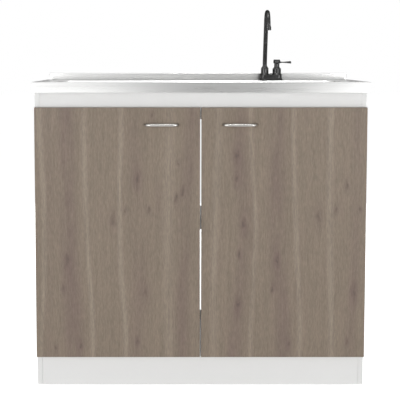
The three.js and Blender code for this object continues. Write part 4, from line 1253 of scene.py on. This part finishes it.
def white_floor():
    """A matt white floor that looks white where no shadow falls."""
    constants = {"Base Color": FLOOR_COLOUR, "Roughness": 0.9, "Specular IOR Level": 0.1}
    material, graph, shader, _ = new_material("white_floor", **constants)
    seen, mirrored = looked_at(graph)
    strength = seen * FLOOR_GLOW["seen"] + mirrored * FLOOR_GLOW["mirrored"]
    glow = graph.value("ShaderNodeEmission", {"Color": WHITE, "Strength": strength})
    both = graph.value("ShaderNodeAddShader", {0: Value(graph, shader.outputs[0]), 1: glow})
    output = graph.tree.get_output_node("ALL")
    graph.feed(output.inputs["Surface"], both)
    return material


def card_material(name, middle, edge, fade, along=(1.0, 0.0, 0.0), upright=False):
    """Light that grows from a card's middle to its edges, along the axes that along names.
    On an upright card it grows less towards the top."""
    material = bpy.data.materials.new(name)
    graph = empty_graph(material)
    place = graph.value("ShaderNodeTexCoord", output="Object")
    reach = {0: graph.scaled(place, *along)}
    away = graph.value("ShaderNodeVectorMath", reach, "Value", operation="LENGTH")
    growth = graph.ramp(away, *fade, 0.0, edge - middle)
    if upright:
        growth = growth * graph.ramp(graph.split(place)[1], *CARD_FADE, *CARD_FADE_TO)
    glow = graph.value("ShaderNodeEmission", {"Color": WHITE, "Strength": growth + middle})
    graph.node("ShaderNodeOutputMaterial", {"Surface": glow})
    return material


def around(turn, distance, height):
    """A place round the unit, at a turn in degrees from the front."""
    angle = math.radians(turn)
    return Vector((distance * math.sin(angle), -distance * math.cos(angle), height))


def add_card(name, width, height, place, turn, material):
    """A card that only reflections see. It stands upright, or hangs level if turn is None."""
    card = add_plane(name, width, height, material)
    card.location = place
    if turn is not None:
        card.rotation_euler = (math.pi / 2, 0, math.radians(turn))
    hide_from(card, "camera", "diffuse", "shadow", "transmission")


def add_cards(studio):
    """Cards for the steel to reflect: shaded ones round the unit, and a softbox under a ceiling."""
    dark, light = studio.card_dark, studio.card_light
    shaded = card_material("shaded_card", dark, light, SHADED, upright=True)
    back = card_material("back_card", BACK_DARK, light, BACK_SHADED)
    middle = CARD_HEIGHT / 2
    for name, width, place, turn, material in (
        ("front_card", FRONT_CARD_WIDTH, (FRONT_CARD_SIDE, -CARD_AWAY, middle), 0, shaded),
        ("left_card", CARD_WIDTH, (-CARD_AWAY, 0, middle), 90, shaded),
        ("right_card", CARD_WIDTH, (CARD_AWAY, 0, middle), 90, shaded),
        ("rear_card", CARD_WIDTH, (0, CARD_AWAY, middle), 0, back),
    ):
        add_card(name, width, CARD_HEIGHT, place, turn, material)
    width, fade = CEILING["width"], CEILING["fade"]
    ceiling = card_material("ceiling", CEILING["dark"], CEILING["light"], fade, (1, 1, 0))
    add_card("ceiling_card", width, width, (0, 0, CEILING["height"]), None, ceiling)
    bright = card_material("strip_card", STRIP_LIGHT, STRIP_LIGHT, SHADED)
    for side in SIDES:
        place = around(STRIP[side], STRIP["away"], STRIP["level"])
        add_card(f"strip_{side}", STRIP_WIDTH, STRIP_HEIGHT, place, STRIP[side], bright)
    bright = card_material("glint_card", GLINT["light"], GLINT["light"], SHADED)
    add_card("glint_card", GLINT["width"], GLINT["width"], GLINT["place"], None, bright)
    fade = SOFTBOX["fade"]
    softbox = card_material("softbox", SOFTBOX["light"], CEILING["dark"], fade, SOFTBOX_OVAL)
    place = (0, 0, SOFTBOX["height"])
    add_card("softbox", SOFTBOX["width"], SOFTBOX["depth"], place, None, softbox)


def add_lamp(name, power, width, height, place):
    """A soft lamp that faces the unit, unseen by the camera and by gloss."""
    lamp = bpy.data.lights.new(name, "AREA")
    lamp.energy = power
    lamp.shape = "RECTANGLE"
    lamp.size = width
    lamp.size_y = height
    holder = add_object(name, lamp)
    holder.location = place
    holder.rotation_euler = (LAMP_TARGET - holder.location).to_track_quat("-Z", "Y").to_euler()
    hide_from(holder, "camera", "glossy")


def add_lamps(studio):
    """A pair of key lamps in front, and wide fills in front, at the sides and behind."""
    for name, turn in (("key_left", -KEY_TURN), ("key_right", KEY_TURN)):
        place = around(turn, LAMP_AWAY, KEY_HEIGHT) + Vector((KEY_SIDE, 0, 0))
        add_lamp(name, studio.key, KEY_SIZE, KEY_SIZE, place)
    place = around(0, FRONT_FILL["away"], FRONT_FILL["level"])
    add_lamp("fill_front", studio.fill, FILL_WIDTH, FRONT_FILL["height"], place)
    for name, turn in (("fill_right", 90), ("fill_back", 180), ("fill_left", 270)):
        place = around(turn, LAMP_AWAY, LAMP_HEIGHT)
        add_lamp(name, studio.side_fill, FILL_WIDTH, SIDE_FILL_HEIGHT, place)


def add_world(studio):
    """Soft surroundings, which the camera and reflections see as plain white."""
    world = bpy.data.worlds.new("studio")
    bpy.context.scene.world = world
    graph = empty_graph(world)
    light = graph.value("ShaderNodeBackground", {"Color": WHITE, "Strength": studio.sky})
    white = graph.value("ShaderNodeBackground", {"Color": WHITE, "Strength": 1.0})
    inputs = {0: graph.math("MAXIMUM", *looked_at(graph)), 1: light, 2: white}
    mixed = graph.value("ShaderNodeMixShader", inputs)
    graph.node("ShaderNodeOutputWorld", {"Surface": mixed})


def add_camera(studio):
    """The camera, in front of the sink and a little above it."""
    data = bpy.data.cameras.new("view_of_photograph")
    data.lens = studio.lens
    data.sensor_width = SENSOR
    data.shift_y = studio.rise
    data.shift_x = studio.shift
    camera = add_object("view_of_photograph", data)
    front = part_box("sink_deck")[0].y
    camera.location = (studio.side, front - studio.distance, studio.height)
    camera.rotation_euler = (math.radians(90 - studio.tilt), 0, 0)
    bpy.context.scene.camera = camera


class SINKUNIT_OT_stage(Undoable, bpy.types.Operator):
    """Set up the floor, the light and the camera"""

    bl_idname = "sinkunit.stage"
    bl_label = "Floor, light and camera"

    def execute(self, context):
        studio = context.scene.sink_unit_studio
        context.scene.view_settings.view_transform = "Standard"
        add_camera(studio)
        add_world(studio)
        add_plane("floor", FLOOR_SIZE, FLOOR_SIZE, white_floor())
        add_cards(studio)
        add_lamps(studio)
        return {"FINISHED"}


# ------------------------------------------------------------------ Panel and registering
OPERATORS = (
    SINKUNIT_OT_stage,
    SINKUNIT_OT_boards,
    SINKUNIT_OT_doors,
    SINKUNIT_OT_handles,
    SINKUNIT_OT_hinges,
    SINKUNIT_OT_sink,
    SINKUNIT_OT_waste,
    SINKUNIT_OT_tap_body,
    SINKUNIT_OT_spout,
    SINKUNIT_OT_tap_handle,
)
SETTINGS = {
    "sink_unit_finish": FinishSettings,
    "sink_unit_shape": ShapeSettings,
    "sink_unit_studio": StudioSettings,
}


class SINKUNIT_PT_panel(bpy.types.Panel):
    """Lists the pieces of the sink unit"""

    bl_idname = "SINKUNIT_PT_panel"
    bl_label = "Sink Unit"
    bl_space_type = "VIEW_3D"
    bl_region_type = "UI"
    bl_category = "Sink Unit"

    def draw(self, context):
        for operator in OPERATORS:
            self.layout.operator(operator.bl_idname)
        for settings in SETTINGS:
            box = self.layout.box()
            group = getattr(context.scene, settings)
            for name in group.__annotations__:
                box.prop(group, name)


def register():
    for item in (*SETTINGS.values(), *OPERATORS, SINKUNIT_PT_panel):
        bpy.utils.register_class(item)
    for name, settings in SETTINGS.items():
        setattr(bpy.types.Scene, name, bpy.props.PointerProperty(type=settings))


def unregister():
    for name in SETTINGS:
        delattr(bpy.types.Scene, name)
    for item in (SINKUNIT_PT_panel, *reversed(OPERATORS), *reversed(SETTINGS.values())):
        bpy.utils.unregister_class(item)


def main():
    register()
    for operator in OPERATORS:
        group, action = operator.bl_idname.split(".")
        getattr(getattr(bpy.ops, group), action)()


if __name__ == "__main__":
    main()
